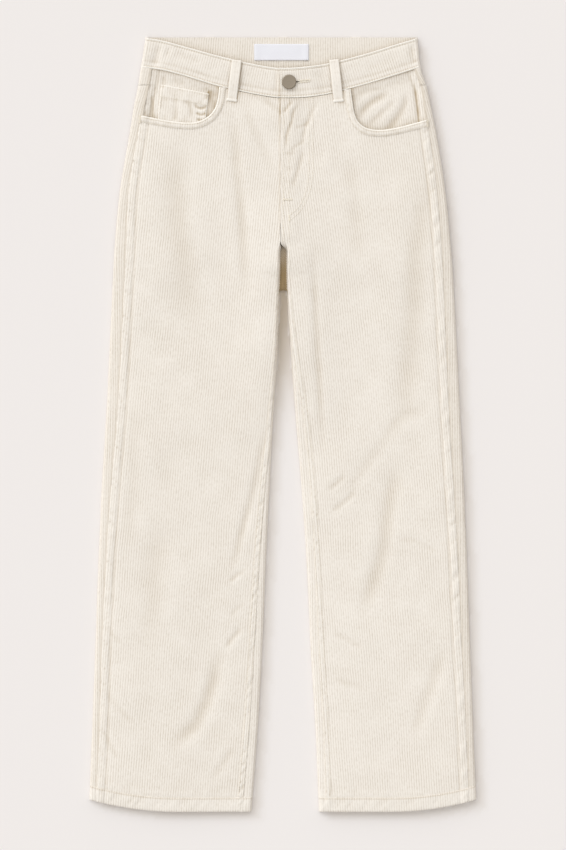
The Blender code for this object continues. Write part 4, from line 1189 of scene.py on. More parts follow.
def makeBand():
    depth = band["backTop"] - band["backBottom"]
    near = np.array(band["rowsFromEdge"]) / depth
    shares = np.concatenate([near, [0.5], 1 - near[::-1]])
    right, left = (bandEdge(side, 0.5) - foldRadius for side in sideSign)
    rightXs = np.arange(band["underEnd"], -right, -columnStep)
    leftXs = np.arange(left, band["lapEnd"][1] - 10, -columnStep)
    backCount = len(np.arange(-right, left, columnStep))
    turn = np.linspace(quarter, -quarter, int(round(2 * quarter / columnStep)) + 1)[1:-1]
    rows = []
    for share in shares:
        parts = (bandStrip(share, rightXs, False), bandFold("right", share, turn), bandBack(share, backCount),
                 bandFold("left", share, turn[::-1]), bandStrip(share, leftXs, True))
        rows.append([np.concatenate(values) for values in zip(*parts)])
    points, shade = (np.array(values) for values in zip(*rows))
    across = np.broadcast_to(np.arange(points.shape[1]) * columnStep, points.shape[:2])
    along = np.broadcast_to(shares[:, None] * depth, points.shape[:2])
    fromEdge = np.minimum(shares, 1 - shares)[:, None] * depth
    pile = 0.25 + 0.75 * smoothstep(1.0, 3.0, fromEdge) - 0.25 * bell(fromEdge - 4.6, 1.2)
    return clothShell("waist_band", points, across, along, cloth["doubleWall"], pile=pile, innerPile=1.0,
                      shade=shade)


finishCloth(makeBand(), ["waistband"], (0.83, 0.043), 0.0352)
print("waistband made")


# Pocket facings, coin pocket and the turned edges of the pocket mouths

pocket = {
    "facingInner": 72, "facingBottom": {"right": 385, "left": 376},
    "depthAtSeam": 1.9, "depth": 3.4, "ease": 14,
    "edgeRows": (0, 0.5, 1.1, 1.8, 2.6, 3.6, 4.8, 6.0, 7.2, 8.2, 9.0, 9.5),
    "edgeRaise": 1.35, "edgeFall": (6.5, 9.5), "edgeRoll": 1.6, "rollWidth": 2.0,
    "edgeDitches": ((2.4, 0.35), (8.0, 0.3)), "edgePucker": 0.18, "edgePile": 0.75,
    # edgeShades: painted shade at the two stitch rows, painted highlight on the rolled rim
    "edgeShades": ((2.7, 0.22, 0.7), (8.2, 0.2, 0.8), (0.9, -0.45, 1.1)), "edgeMottle": 0.12,
}
facingFolds = {
    "right": [
        foldRow([(-180, 458), (-179, 440), (-177, 412)], 2.8, 1.2, 0.0),
        foldRow([(-165, 480), (-163, 470), (-168, 458)], 3.5, 0.7, 0.2),
        foldRow([(-190, 446), (-189, 432), (-187, 416)], 2.4, 0.6, 0.0),
        foldRow([(-186, 470), (-180, 462), (-172, 458)], 3.2, 0.5, 0.2),
        foldRow([(-150, 478), (-144, 470), (-132, 468)], 4, 0.6, 0.3),
        foldRow([(-104, 456), (-96, 442), (-92, 428)], 5, 1.2, 0.0),
        foldRow([(-112, 462), (-98, 455), (-88, 449)], 3.5, 0.9, 0.0),
    ],
    "left": [
        foldRow([(100, 416), (118, 438), (150, 458)], 5.5, 1.5, 0.3),
        foldRow([(136, 396), (152, 414), (165, 434), (172, 458)], 5.5, 1.4, 0.3),
        foldRow([(112, 404), (132, 424), (160, 448)], 4, 0.8, 0.2),
        foldRow([(178, 470), (183, 451), (188, 412)], 2.4, 1.7, 0.0),
        foldRow([(98, 452), (120, 458), (140, 462)], 4, 0.8, 0.0),
    ],
}
coinFolds = [
    foldRow([(-124, 440), (-114, 433), (-101, 436)], 2.6, 1.2, 0.3),
    foldRow([(-122, 428), (-112, 424), (-102, 427)], 2.4, 1.1, 0.3),
    foldRow([(-120, 418), (-110, 416), (-103, 419)], 2.6, 1.1, 0.3),
    foldRow([(-132, 446), (-126, 432), (-124, 414)], 4, 0.6, 0.0),
    foldRow([(-150, 440), (-146, 428), (-150, 412)], 5, 0.4, 0.0),
]


def facingEdges(side, y):
    return pocket["facingInner"] + 0 * y, outseamOut(side, y) - seam


def facingOut(side, flat, y):
    return flat, foldRadius + 0 * flat


def facingHeight(side, x, y):
    fromSide = outseamOut(side, y) - np.abs(x)
    fromBand = bandBottom(x) - y
    sunk = smoothstep(0, pocket["ease"], fromSide) * smoothstep(0, pocket["ease"], fromBand)
    depth = mix(pocket["depthAtSeam"], pocket["depth"], sunk)
    base = underside(y) + laid["height"] + frontRelief(side, x, y)
    return base - depth + foldHeight(facingFolds[side], x, y)


def facingShade(side, x, y):
    shade = np.maximum(cavity(lambda a, b: facingHeight(side, a, b), x, y), -0.3 * shading["wearAndHighlight"])
    shade = shade + shading["facingCrease"] * np.maximum(0, -foldHeight(facingFolds[side], x, y))
    shade = shade + bandShadow(x, y)
    out, line, _ = mouthLine(side, 60)
    rim = np.min([np.hypot(np.abs(x) - px, y - py) for px, py in zip(out, line)], axis=0)
    shade = shade + shading["rim"] * np.exp(-rim / shading["rimReach"])
    shade = shade + shading["nearRim"] * np.exp(-rim / shading["nearRimReach"])
    if side == "right":
        shade = shade + coinShadow(x, y)
    return shade


def facingPoint(side, flat, y):
    x = sideSign[side] * flat
    return np.stack([x, y + 0 * x, facingHeight(side, x, y)], -1)


def facingTop(side, out, rise, y):
    return bandBottom(sideSign[side] * out) - seam


def facingBottom(side, out, rise, y):
    return pocket["facingBottom"][side] + 0 * y


coin = {
    "top": ((166.8, 466.0), (101.0, 453.0)), "foot": ((172.9, 405.7), (106.5, 405.7)),
    "width": 66.5, "height": 50,
    "raise": 1.5, "turned": 0.3, "turnedAt": 16.5, "ditch": 0.35, "roll": 0.9, "rollWidth": 1.6,
    # painted shade in hollows, on the ditch, rows and foot; painted highlight on the rolled top and sides
    "swell": 0.25, "hollowGain": 2.2, "shade": 0.05, "rowShade": 0.3, "topShade": 0.15, "footShade": 0.3,
    "highlightTop": 0.35, "highlightSides": 0.2,
    "beside": 0.55, "besideReach": 2.4,   # shade on the facing
}


def coinShadow(x, y):
    # on the facing, next to the coin pocket's inner side
    (topOut, topY), (footOut, footY) = coin["top"][1], coin["foot"][1]
    past = -x - mix(footOut, topOut, (y - footY) / (topY - footY))
    shade = coin["beside"] * np.exp(-np.maximum(-past, 0) / coin["besideReach"])
    return shade * (y < topY + 3) * (past < 2)


def mouthLine(side, steps):
    rows = mouthRows[side]
    place = np.linspace(0, len(rows) - 1, steps)
    k = np.minimum(place.astype(int), len(rows) - 2)
    outs = np.array([row.out for row in rows])
    outs[-1] = min(outs[-1], outseamOut(side, rows[-1].y) - seam)
    out = mix(outs[k], outs[k + 1], place - k)
    y = readTable(rows, "out", "y", out)
    run = np.gradient(np.stack([out, y], -1), axis=0)
    return out, y, run / np.linalg.norm(run, axis=1, keepdims=True)


def alongMouth(side, out, y, run, step):
    px = out + run[:, 1] * step
    py = np.minimum(y - run[:, 0] * step, bandBottom(sideSign[side] * px) - seam)
    return sideSign[side] * px, py


def edgeFace(side, x, y, step):
    # height of the turned pocket edge, step millimetres from the mouth
    base = underside(y) + laid["height"] + frontRelief(side, x, y)
    height = pocket["edgeRaise"] * (1 - 0.75 * smoothstep(*pocket["edgeFall"], step))
    height = height - pocket["edgeRoll"] * max(0.0, 1 - step / pocket["rollWidth"]) ** 2
    for at, depth in pocket["edgeDitches"]:
        height = height - depth * bell(step - at, 0.9)
    return base + height + pocket["edgePucker"] * softNoise(x, y, 5, 75)


def makeMouthEdge(side):
    out, y, run = mouthLine(side, 190)
    rows, grains = [], []
    for step in pocket["edgeRows"]:
        px, py = alongMouth(side, out, y, run, seam + step)
        rows.append(np.stack([px, py, edgeFace(side, px, py, step)], -1))
        grains.append(np.abs(px) + grainShift(side, py))
    points = np.array(rows)
    away = np.array(pocket["edgeRows"])[:, None]
    pile = pocket["edgePile"] * smoothstep(0.5, 2.5, away)
    # painted shade at the stitch rows, painted highlight on the rolled rim
    shade = sum(depth * bell(away - at, width) for at, depth, width in pocket["edgeShades"])
    shade = shade + pocket["edgeMottle"] * softNoise(points[..., 0], points[..., 1], 4.5, 76)
    return clothShell("mouth_edge_" + side, points, np.array(grains), points[..., 1], cloth["lightWall"],
                      pile=pile, shade=shade, middle=-100)


def coinFace(x, y):
    return facingHeight("right", x, y) + foldHeight(coinFolds, x, y) + coin["swell"] * softNoise(x, y, 7, 77)


def makeCoin():
    columns = np.linspace(0, 1, int(coin["width"] / columnStep) + 1)
    shares = np.concatenate([np.linspace(0, 0.85, 22), [0.89, 0.93, 0.955, 0.975, 0.99, 1.0]])
    fromSides = np.minimum(columns, 1 - columns) * coin["width"]
    lowOut, lowY = (mix(a, b, columns) for a, b in zip(*coin["foot"]))
    highOut, highY = (mix(a, b, columns) for a, b in zip(*coin["top"]))
    rows, shadeRows = [], []
    for share in shares:
        x, y = -mix(lowOut, highOut, share), mix(lowY, highY, share)
        fromTop = (1 - share) * coin["height"]
        lift = coin["raise"] + coin["turned"] * smoothstep(19, 15, fromTop)
        lift -= coin["ditch"] * bell(fromTop - coin["turnedAt"], 1.2)
        lift -= coin["roll"] * np.maximum(0, 1 - fromSides / coin["rollWidth"]) ** 2
        lift -= coin["roll"] * max(0.0, 1 - fromTop / coin["rollWidth"]) ** 2
        rows.append(np.stack([x, y, coinFace(x, y) + lift], -1))
        # painted shade in hollows and lines, painted highlight on the rolled top and sides
        shade = cavity(coinFace, x, y, coin["hollowGain"]) + coin["shade"]
        shade = shade + coin["rowShade"] * bell(fromTop - coin["turnedAt"], 1.0)
        shade = shade + coin["topShade"] * (bell(fromTop - 2.6, 0.8) + bell(fromSides - 2.8, 0.8))
        shade = shade - coin["highlightTop"] * bell(fromTop - 0.8, 0.9)
        shade = shade - coin["highlightSides"] * bell(fromSides - 1.0, 1.0)
        shadeRows.append(shade + coin["footShade"] * np.exp(-share * coin["height"] / 4))
    points = np.array(rows)
    across = np.broadcast_to(columns * coin["width"], points.shape[:2])
    pile = 0.2 + 0.65 * smoothstep(0.5, 2.5, fromSides)
    pile = pile * smoothstep(0.0, 0.03, 1 - shares)[:, None]
    return clothShell("small_coin_pocket", points, across, points[..., 1], cloth["lightWall"], pile=pile,
                      shade=np.array(shadeRows), middle=-100)


for side in sideSign:
    facing = grainSheet("facing_" + side, side, heightRows(374, 496, 4), facingEdges, facingOut, facingPoint,
                        (facingBottom, 370, 390), (facingTop, 420, 510), cloth["lightWall"], facingShade,
                        tuck=(0, 2.5, 0, 3), middle=-100)
    finishCloth(facing, ["pocket_facing_" + side], (0.125, 0.1), 0.0098)
    finishCloth(makeMouthEdge(side), ["pocket_edge_" + side], (0.15, 0.0105), 0.00135)
finishCloth(makeCoin(), ["coin_pocket"], (0.067, 0.06), 0.0037)
print("front pockets made")


# Belt loops, back pockets, label, button and the fly's hidden layers

def stripPiece(name, ends, width, height, wall, middle, pile=0.5, rolled=1.0):
    # a strip of cloth between two points; height is its face along its length, from foot to head
    (topX, topY), (footX, footY) = ends
    length = math.hypot(topX - footX, topY - footY)
    along = np.concatenate([[0, 0.6, 1.4], np.linspace(2.5, length - 2.5, int(length / 2.5)),
                            [length - 1.4, length - 0.6, length]])
    columns = np.linspace(-0.5, 0.5, int(round(width / columnStep)) + 1)
    share = along[:, None] / length
    sideX, sideY = (topY - footY) / length, -(topX - footX) / length
    foot = bell(along[:, None] - loop["footAt"], 1.5)
    x = mix(footX, topX, share) + columns * (width + loop["foot"] * foot) * sideX
    y = mix(footY, topY, share) + columns * (width + loop["foot"] * foot) * sideY
    fromSides = width / 2 - np.abs(columns * width)
    fromEnds = np.minimum(along, length - along)[:, None]
    roll = np.maximum(0, 1 - fromSides / loop["rollWidth"]) ** 2 + 0.8 * np.maximum(0, 1 - fromEnds / 2) ** 2
    lower = loop["roll"] * roll - loop["footRaise"] * foot
    lower = lower + loop["footDitch"] * bell(along[:, None] - 4.6, 1.0)
    z = height(x, y, share) - rolled * lower
    z = np.maximum(z, 0)  # a back loop is pressed flat by the floor
    pileHere = pile * smoothstep(0.3, 2.2, fromSides) * smoothstep(0, 2, fromEnds)
    # painted shade along the sides and ends, painted highlight inside the rolled sides and on the folded foot
    shade = loop["sideShade"] * np.exp(-fromSides / 0.7) - loop["highlightRows"] * bell(fromSides - 2.4, 1.2)
    shade = shade - loop["highlightFoot"] * foot
    shade = shade + loop["footShade"] * bell(along[:, None] - 4.4, 0.8)
    shade = shade + loop["headShade"] * bell(length - along[:, None] - 3.2, 0.8)
    across = columns * width + loop["acrossFrom"]
    return clothShell(name, np.stack([x, y, z], -1), across, along[:, None], wall, pile=pileHere,
                      shade=shade, middle=middle)


def frontLoopFace(x, y, share):
    ends = loop["raise"] + loop["arch"] * np.sin(math.pi * share) ** 2
    return underside(y) + laid["height"] + 0.6 + ends


def backLoopFace(x, y, share):
    return 0 * x


for side in sideSign:
    piece = stripPiece("loop_front_" + side, loop["ends"][side], loop["width"], frontLoopFace, cloth["wall"],
                       middle=-100, pile=0.45)
    finishCloth(piece, ["belt_loop_front_" + side], (0.0145, 0.062), 0.00088)
for where, x in (("right", -loop["backOut"]), ("centre", 0), ("left", loop["backOut"])):
    piece = stripPiece("loop_back_" + where, ((x, loop["backTop"]), (x, loop["backBottom"])), loop["width"],
                       backLoopFace, loop["backWall"], middle=100, rolled=-loop["backRoll"])
    finishCloth(piece, ["belt_loop_back_" + where], (0.0145, 0.062), 0.00088)

backPocket = {
    "top": ((32, 392), (166, 400)), "foot": ((38, 272), (100, 250), (160, 275)), "wall": 1.3,
    "width": 128, "height": 125, "acrossWales": 134.4, "roll": 0.8, "rollWidth": 2,
}


def makeBackPocket(side):
    (topIn, topInY), (topOut, topOutY) = backPocket["top"]
    footOuts, footYs = zip(*backPocket["foot"])
    columns = np.linspace(0, 1, int((topOut - topIn) / columnStep) + 1)
    shares = np.concatenate([[0, 0.005, 0.012], np.linspace(0.02, 0.98, 26), [0.988, 0.995, 1]])[:, None]
    lowOut = mix(footOuts[0], footOuts[-1], columns)
    lowY = np.interp(lowOut, footOuts, footYs)
    out = mix(lowOut, mix(topIn, topOut, columns), shares)
    y = mix(lowY, mix(topInY, topOutY, columns), shares)
    fromSide = np.minimum(columns, 1 - columns) * backPocket["width"]
    fromEdge = np.minimum(fromSide, np.minimum(shares, 1 - shares) * backPocket["height"])
    z = backPocket["roll"] * np.maximum(0, 1 - fromEdge / backPocket["rollWidth"]) ** 2
    points = np.stack([sideSign[side] * out, y, z], -1)
    across = np.broadcast_to(columns * backPocket["acrossWales"], points.shape[:2])
    return clothShell("seat_pocket_" + side, points, across, y, backPocket["wall"],
                      pile=0.9 * smoothstep(0.3, 2.5, fromEdge), middle=100)


for side in sideSign:
    finishCloth(makeBackPocket(side), ["back_pocket_" + side], (0.134, 0.142), 0.0172)


def flatLayer(name, xs, ys, depth, wall, pile):
    x, y = np.meshgrid(np.arange(xs[0], xs[1], columnStep), heightRows(ys[0], ys[1], 6))
    z = underside(y) + laid["height"] + np.minimum(0, foldHeight(frontFolds, x, y)) - depth
    return clothShell(name, np.stack([x, y, z], -1), x, y, wall, pile=pile, middle=-100)


flyLayers = {
    "shield": {"xs": (-12, 36), "ys": (292, 442), "depth": 3.1, "wall": cloth["lightWall"], "pile": 0.8},
    "tape": {"xs": (-8, 18), "ys": (305, 438), "depth": 1.8, "wall": 1.0, "pile": 0.0},
}
shield = flatLayer("fly_underlap", **flyLayers["shield"])
finishCloth(shield, ["fly_shield"], (0.049, 0.151), 0.0072)
tape = flatLayer("zip_tape_cloth", **flyLayers["tape"])
finishCloth(tape, ["zip_tape"], (0.0265, 0.134), 0.0034, slot="zip_tape", Material=tapeCloth)

label = {
    "centre": (-1.7, 510.0), "size": (75, 22.6), "top": 5.5, "wall": 0.9,
    "swell": 0.25, "puff": 0.25, "edgeDrop": 0.4, "endDrop": 0.5,
}


def makeLabel():
    halfX, halfY = label["size"][0] / 2, label["size"][1] / 2
    x, y = np.meshgrid(np.linspace(-halfX, halfX, 76), np.linspace(-halfY, halfY, 24))
    fromEnds, fromEdges = halfX - np.abs(x), halfY - np.abs(y)
    z = label["top"] + label["swell"] * softNoise(x, y, 14, 81) + label["puff"] * bell(fromEnds - 4.5, 3)
    z = z - label["edgeDrop"] * np.maximum(0, 1 - fromEdges / 1.2) ** 2
    z = z - label["endDrop"] * np.maximum(0, 1 - fromEnds / 1.5) ** 2
    points = np.stack([x + label["centre"][0], y + label["centre"][1], z], -1)
    piece = clothShell("blank_label", points, x, y, label["wall"], pile=0, middle=-100)
    finishCloth(piece, ["woven_label"], (0.078, 0.0226), 0.0017, slot="label_cloth", Material=labelCloth)


makeLabel()

button = {
    "centre": (8.6, 468.0), "sides": 72,
    "profile": ((0, 3.1), (5.2, 3.1), (7.6, 3.14), (8.2, 3.2), (8.7, 3.24), (9.1, 3.18), (9.5, 2.98),
                (9.85, 2.6), (10.0, 2.1), (9.8, 1.6), (9.2, 1.35), (5.0, 1.1), (4.1, 0.9), (4.0, 0.0),
                (0, 0)),
}


def turned(name, profile, sides, place):
    # a profile turned round its own axis, from its top down its outer side
    rings = [(r, z) for r, z in profile if r > 0]
    angles = np.linspace(0, 2 * math.pi, sides, endpoint=False)
    points = [(r * math.cos(a), r * math.sin(a), z) for r, z in rings for a in angles]
    points += [(0, 0, profile[0][1]), (0, 0, profile[-1][1])]
    faces = []
    for k in range(len(rings) - 1):
        for i in range(sides):
            j = (i + 1) % sides
            faces.append([k * sides + i, (k + 1) * sides + i, (k + 1) * sides + j, k * sides + j])
    last = (len(rings) - 1) * sides
    for i in range(sides):
        j = (i + 1) % sides
        faces.append([len(points) - 2, i, j])
        faces.append([len(points) - 1, last + j, last + i])
    return makeMesh(name, np.array(points) + np.array(place), faces)


buttonBase = laid["seatLift"] + laid["height"] + band["lapRaise"] + cloth["gap"]
buttonPiece = turned("metal_button", button["profile"], button["sides"], (*button["centre"], buttonBase))
buttonPiece.data.materials.append(buttonMetal)
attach(buttonPiece, "root")
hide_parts("shank_button")
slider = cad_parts["zip_slider"]
slider.data.materials.clear()
slider.data.materials.append(zipMetal)
print("loops, label and button made")


# Topstitching, bar tacks and the buttonhole

sewing = {
    "stitch": 2.3, "gap": 0.9, "thread": 0.75,
    "sink": 0.12,            # how far a row's middle lies above the cloth
    "inseamRows": (1.4, 7.4), "flyRows": (1.2, 8.6), "bandRow": 3.4, "mouthRows": (2.4, 8.0),
    "hemRow": 18.2, "pocketRows": (1.8, 7.5), "seatRows": (1.4, 7.0),
    "flyHeights": (446, 380, 300, 250), "bandEnds": ((-186, -6), (-1.5, 181)), "lapHeights": (449, 485),
    "yokeRow": ((2, 418.5), (176, 456)), "seatHeights": (412, 300, 192),
    "flyJ": [[(36, 446), (36, 380), (36, 345), (32, 318), (22, 297), (9, 285)],
             [(41.4, 447), (41.4, 380), (41.4, 345), (37, 318), (26, 294), (9, 277)]],
    "coinRows": [[(-165, 463), (-103, 450.6)], [(-167, 449), (-105, 437)],
                 [(-165, 463), (-170.5, 414)], [(-103, 450.6), (-107.5, 416)]],
    "tackPitch": 0.75, "tackThread": 0.6,
    "flyTacks": (((0, 307), (13, 307), 2.2), ((9, 277), (9, 286), 2.0)),
    "mouthTacks": {"right": (-195.5, 412, 422), "left": (198.5, 406, 417)},
}


def makeThreads(name, lines, tree, values):
    # one piece for several lines of points
    points = np.concatenate(lines)
    edges, start = [], 0
    for line in lines:
        edges += [(start + i, start + i + 1) for i in range(len(line) - 1)]
        start += len(line)
    mesh = bpy.data.meshes.new(name)
    mesh.from_pydata((points * mm).tolist(), edges, [])
    piece = bpy.data.objects.new(name, mesh)
    bpy.context.scene.collection.objects.link(piece)
    bake(piece, tree, {"Material": thread, **values})
    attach(piece, "root")


def stitchPiece(name, lines, seed):
    makeThreads(name, lines, stitches,
                {"Stitch Length": sewing["stitch"] * mm, "Stitch Gap": sewing["gap"] * mm,
                 "Thread": sewing["thread"] * mm, "Seed": seed})


def tack(start, end, width, height):
    # a zigzag of thread from start to end; height gives the surface under it
    (x0, y0), (x1, y1) = start, end
    length = math.hypot(x1 - x0, y1 - y0)
    count = int(length / (sewing["tackPitch"] / 2))
    t = np.linspace(0, 1, 6 * count + 1)
    swing = -width / 2 * np.cos(math.pi * count * t)
    x = mix(x0, x1, t) - (y1 - y0) / length * swing
    y = mix(y0, y1, t) + (x1 - x0) / length * swing
    return np.stack([x, y, height(x, y)], -1)


def frontHeight(x, y):
    # height of a stitch on the fronts, with the fly's overlap
    side = "left" if np.mean(x) > fly["edge"] else "right"
    z = underside(y) + laid["height"] + frontRelief(side, x, y)
    if side == "left":
        up = smoothstep(fly["bottom"] - 2 * fly["ease"], fly["bottom"] - fly["ease"], y)
        z = z + fly["raise"] * up * (1 - smoothstep(fly["flat"], fly["down"], x))
    return z + sewing["sink"]


def surfaceLine(points, height, step=3.0):
    # a smooth line through the points, laid on a surface
    line = smoothLine(points)
    run = np.concatenate([[0], np.cumsum(np.hypot(*np.diff(line, axis=0).T))])
    places = np.linspace(0, run[-1], max(2, int(run[-1] / step)))
    x, y = (np.interp(places, run, line[:, k]) for k in (0, 1))
    return np.stack([x, y, height(x, y)], -1)


legLines, pocketLines, waistLines, flyLines, seatLines, tackLines = [], [], [], [], [], []
for side in sideSign:
    for away in sewing["inseamRows"]:
        y = heightRows(-509, 238, 4)
        line = frontPoint(side, frontEdges(side, y)[0] + away, y)
        line[:, 2] += sewing["sink"]
        legLines.append(line)
    flat = np.linspace(*frontEdges(side, np.array(hem["level"] + 18.0)), 60)[1:-1]
    y = hemY(side, sideSign[side] * flat) + sewing["hemRow"]
    line = frontPoint(side, flat, y)
    line[:, 2] += 0.35 * bell(9.2, 9) + sewing["sink"]
    legLines.append(line)
    out, mouth, run = mouthLine(side, 60)
    for step in sewing["mouthRows"]:
        px, py = alongMouth(side, out, mouth, run, seam + step)
        keep = py < bandBottom(px) - 1
        pocketLines.append(np.stack([px, py, edgeFace(side, px, py, step) + 0.2], -1)[keep])


def bandLine(start, end, fromBottom=None, fromTop=None):
    x = np.linspace(start, end, int(abs(end - start) / 3))
    y = bandBottom(x) + fromBottom if fromTop is None else bandTop(x) - fromTop
    return np.stack([x, y, bandFace(x, y, x[-1] > fly["edge"]) + sewing["sink"] + 0.1], -1)


for away in ({"fromTop": sewing["bandRow"]}, {"fromBottom": sewing["bandRow"] - 0.6}):
    waistLines += [bandLine(*ends, **away) for ends in sewing["bandEnds"]]
lapY = np.linspace(*sewing["lapHeights"], 12)
lapX = -1.6 - 0.02 * (lapY - 468)
waistLines.append(np.stack([lapX, lapY, bandFace(lapX, lapY) + sewing["sink"]], -1))


def coinHeight(x, y):
    return facingHeight("right", x, y) + coin["raise"] + foldHeight(coinFolds, x, y) + 0.15


def mouthTop(side, x, y):
    return underside(y) + laid["height"] + frontRelief(side, x, y) + pocket["edgeRaise"] + 0.2


def seatHeight(x, y):
    return 0.34 + underside(y)


def pocketUnder(x, y):
    return 0.3 + 0 * x


def pocketRows(away):
    # the stitch lines of a back pocket: its sides, foot and top, in from its edges
    (topIn, topInY), (topOut, topOutY) = backPocket["top"]
    (footIn, footInY), (tip, tipY), (footOut, footOutY) = backPocket["foot"]
    return [((topIn + away, topInY - 2), (footIn + away, footInY + 1 + away)),
            ((topOut - away, topOutY - 2), (footOut - away, footOutY + 1 + away)),
            ((footIn + 1, footInY + away), (tip - 1, tipY + 1 + away)),
            ((tip + 1, tipY + 1 + away), (footOut - 1, footOutY + 1 + away)),
            ((topIn + 2, topInY - 1 - away), (topOut - 2, topOutY - 1 - away))]


pocketLines += [surfaceLine(row, coinHeight) for row in sewing["coinRows"]]
flyLines += [surfaceLine(row, frontHeight) for row in sewing["flyJ"]]
for away in sewing["flyRows"]:
    flyLines.append(surfaceLine([(away, y) for y in sewing["flyHeights"]], frontHeight))
tackLines += [tack(*ends, frontHeight) for ends in sewing["flyTacks"]]
for side, (tackX, low, high) in sewing["mouthTacks"].items():
    tackLines.append(tack((tackX, low), (tackX, high), 2.0, lambda x, y: mouthTop(side, x, y)))
for sign in sideSign.values():
    for away in sewing["pocketRows"]:
        for row in pocketRows(away):
            seatLines.append(surfaceLine([(sign * out, y) for out, y in row], pocketUnder))
        seatLines.append(surfaceLine([(sign * out, y + away) for out, y in sewing["yokeRow"]], seatHeight))
for away in sewing["seatRows"]:
    seatLines.append(surfaceLine([(-away, y) for y in sewing["seatHeights"]], seatHeight))
rows = {"legs": legLines, "pockets": pocketLines, "waist": waistLines, "fly": flyLines, "seat": seatLines}
for seed, (where, lines) in enumerate(rows.items(), 1):
    stitchPiece("topstitch_" + where, lines, seed)


def lapFace(x, y):
    return bandFace(x, y) + 0.25


# the buttonhole: purled thread round a slit, with its eye by the button
hole = {"start": (20.5, 468.6), "end": (37.0, 470.4), "thread": 1.5, "rows": 1.25, "bar": 1.8, "slit": 1.5}
holeStart, holeEnd = np.array(hole["start"]), np.array(hole["end"])
alongHole = (holeEnd - holeStart) / np.linalg.norm(holeEnd - holeStart)
acrossHole = np.array((-alongHole[1], alongHole[0]))
for way in (-hole["rows"], hole["rows"]):
    tackLines.append(tack(holeStart + way * acrossHole, holeEnd + way * acrossHole, hole["thread"], lapFace))
bar = hole["bar"] * acrossHole
tackLines.append(tack(holeEnd + bar, holeEnd - bar, hole["thread"], lapFace))
makeThreads("bar_tacks", tackLines, laidThread, {"Thread": sewing["tackThread"] * mm})
# a near-black thread along the slit: painted shadow of the opening
shadowThread, *_ = newMaterial("buttonhole painted shadow", **{"Base Color": (0.05, 0.04, 0.03, 1), "Roughness": 1.0})
slitLine = surfaceLine([holeStart - 2.5 * alongHole, holeStart + 1.6 * alongHole], bandFace, 1.0)
makeThreads("buttonhole_slit", [slitLine], laidThread,
            {"Thread": hole["slit"] * mm, "Material": shadowThread})
print("stitching made")


# Camera, light and floor

studio = {
    "cameraHeight": 3.0, "lens": 92.75, "centre": (0.0003, -0.0012),
    "sky": 0.885, "skyLean": 0.55, "skyFrom": (-0.72, 0.66, 0.2),
    "skyBright": (0.975, 0.99, 1.0), "skyDim": (1.0, 0.955, 0.90),
    "sun": 0.85, "sunSpread": 44, "sunFrom": (-46, 42),
    "floor": (0.815, 0.782, 0.768), "floorSize": 8.0,
    # floorShade to betweenLegs: the colour and reach of a painted shadow on the floor, beside the cloth and
    # between the legs
    "floorShade": (0.32, 0.225, 0.09),   # warm tone the cloth throws on the floor beside it
    "shadeSteps": ((3, -0.1), (8, 0.03), (12, 0.04), (16, 0.05), (20, 0.04), (25, 0.02)),
    "shadeWay": (0.74, -0.67),
    "betweenLegs": (0.42, 9, 44),        # depth, and the widths of gap it is full and gone at
    "floorRows": {"x": (-300, 321, 3), "y": (-580, 571, 5)},
}
camera = bpy.data.objects.new("camera", bpy.data.cameras.new("camera"))
camera.data.sensor_width = 36
camera.data.lens = studio["lens"]
camera.location = (*studio["centre"], studio["cameraHeight"] + 8 * mm)
bpy.context.scene.collection.objects.link(camera)
bpy.context.scene.camera = camera
bpy.context.scene.view_settings.view_transform = "Standard"

world = bpy.data.worlds.new("soft room")
world.use_nodes = True
sky = world.node_tree
ray = addNode(sky, "ShaderNodeTexCoord").outputs["Generated"]
towards = addNode(sky, "ShaderNodeVectorMath", {0: ray, 1: studio["skyFrom"]}, operation="DOT_PRODUCT")
lean = towards.outputs["Value"]
tint = addNode(sky, "ShaderNodeMix",
               {"Factor": mathNode(sky, "MULTIPLY_ADD", lean, 0.5, 0.5),
                6: (*studio["skyDim"], 1), 7: (*studio["skyBright"], 1)}, data_type="RGBA")
glow = mathNode(sky, "MULTIPLY_ADD", lean, studio["skyLean"] * studio["sky"], studio["sky"])
sky.links.new(tint.outputs[2], sky.nodes["Background"].inputs["Color"])
sky.links.new(glow, sky.nodes["Background"].inputs["Strength"])
bpy.context.scene.world = world

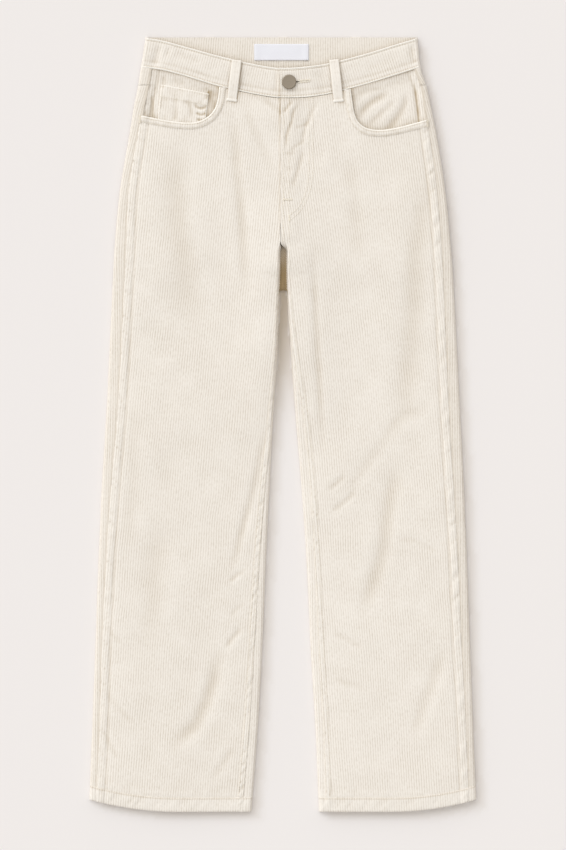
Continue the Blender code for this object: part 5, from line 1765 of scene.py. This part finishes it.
sun = bpy.data.objects.new("window light", bpy.data.lights.new("window light", "SUN"))
sun.data.energy = studio["sun"]
sun.data.angle = math.radians(studio["sunSpread"])
sun.rotation_euler = (math.radians(-studio["sunFrom"][1]), math.radians(studio["sunFrom"][0]), 0)
bpy.context.scene.collection.objects.link(sun)


def underCloth(x, y):
    # 1 where the trousers lie on the floor
    covered = 0 * x
    for side, sign in sideSign.items():
        out = sign * x
        inner = np.where(y > laid["backCrotch"], -1, outline(side, "inner", y))
        across = (out > inner) & (out < outline(side, "outer", y))
        covered = np.maximum(covered, across & (y > hemY(side, x)) & (y < band["backTop"]))
    return covered


def floorShade(x, y):
    # painted shadow: soft warm shade on the floor, away from the window and between the legs
    shade = 0 * x
    wayX, wayY = studio["shadeWay"]
    for reach, depth in studio["shadeSteps"]:
        shade = shade + depth * underCloth(x - wayX * reach, y - wayY * reach)
    depth, narrow, wide = studio["betweenLegs"]
    right, left = outline("right", "inner", y), outline("left", "inner", y)
    width = right + left
    between = (x > -right) & (x < left) & (y < 200)
    leaning = 1 - 0.5 * smoothstep(0, 1, (x + right) / width) * smoothstep(80, -80, y)
    return shade + depth * between * leaning * smoothstep(wide, narrow, width) ** 2


half = studio["floorSize"] / 2 / mm
floorX, floorY = np.meshgrid(*(np.concatenate([[-half], np.arange(*studio["floorRows"][axis]), [half]])
                               for axis in "xy"))
ids = np.arange(floorX.size).reshape(floorX.shape)
tiles = np.stack([ids[:-1, :-1], ids[:-1, 1:], ids[1:, 1:], ids[1:, :-1]], -1).reshape(-1, 4)
floor = makeMesh("floor", np.stack([floorX, floorY, 0 * floorX], -1).reshape(-1, 3), tiles.tolist())
floorShades = floorShade(floorX, floorY).ravel().astype(np.float32)
floor.data.attributes.new("shade", "FLOAT", "POINT").data.foreach_set("value", floorShades)
paper = {"Roughness": 1.0, "Specular IOR Level": 0.0}
floorPaint, floorTree, floorShader = newMaterial("pale paper with painted shadow", **paper)
paintedShadow = addNode(floorTree, "ShaderNodeAttribute", attribute_name="shade").outputs["Fac"]
twoTones(floorTree, floorShader, paintedShadow, studio["floor"], studio["floorShade"])
floor.data.materials.append(floorPaint)
print("camera, light and floor placed")
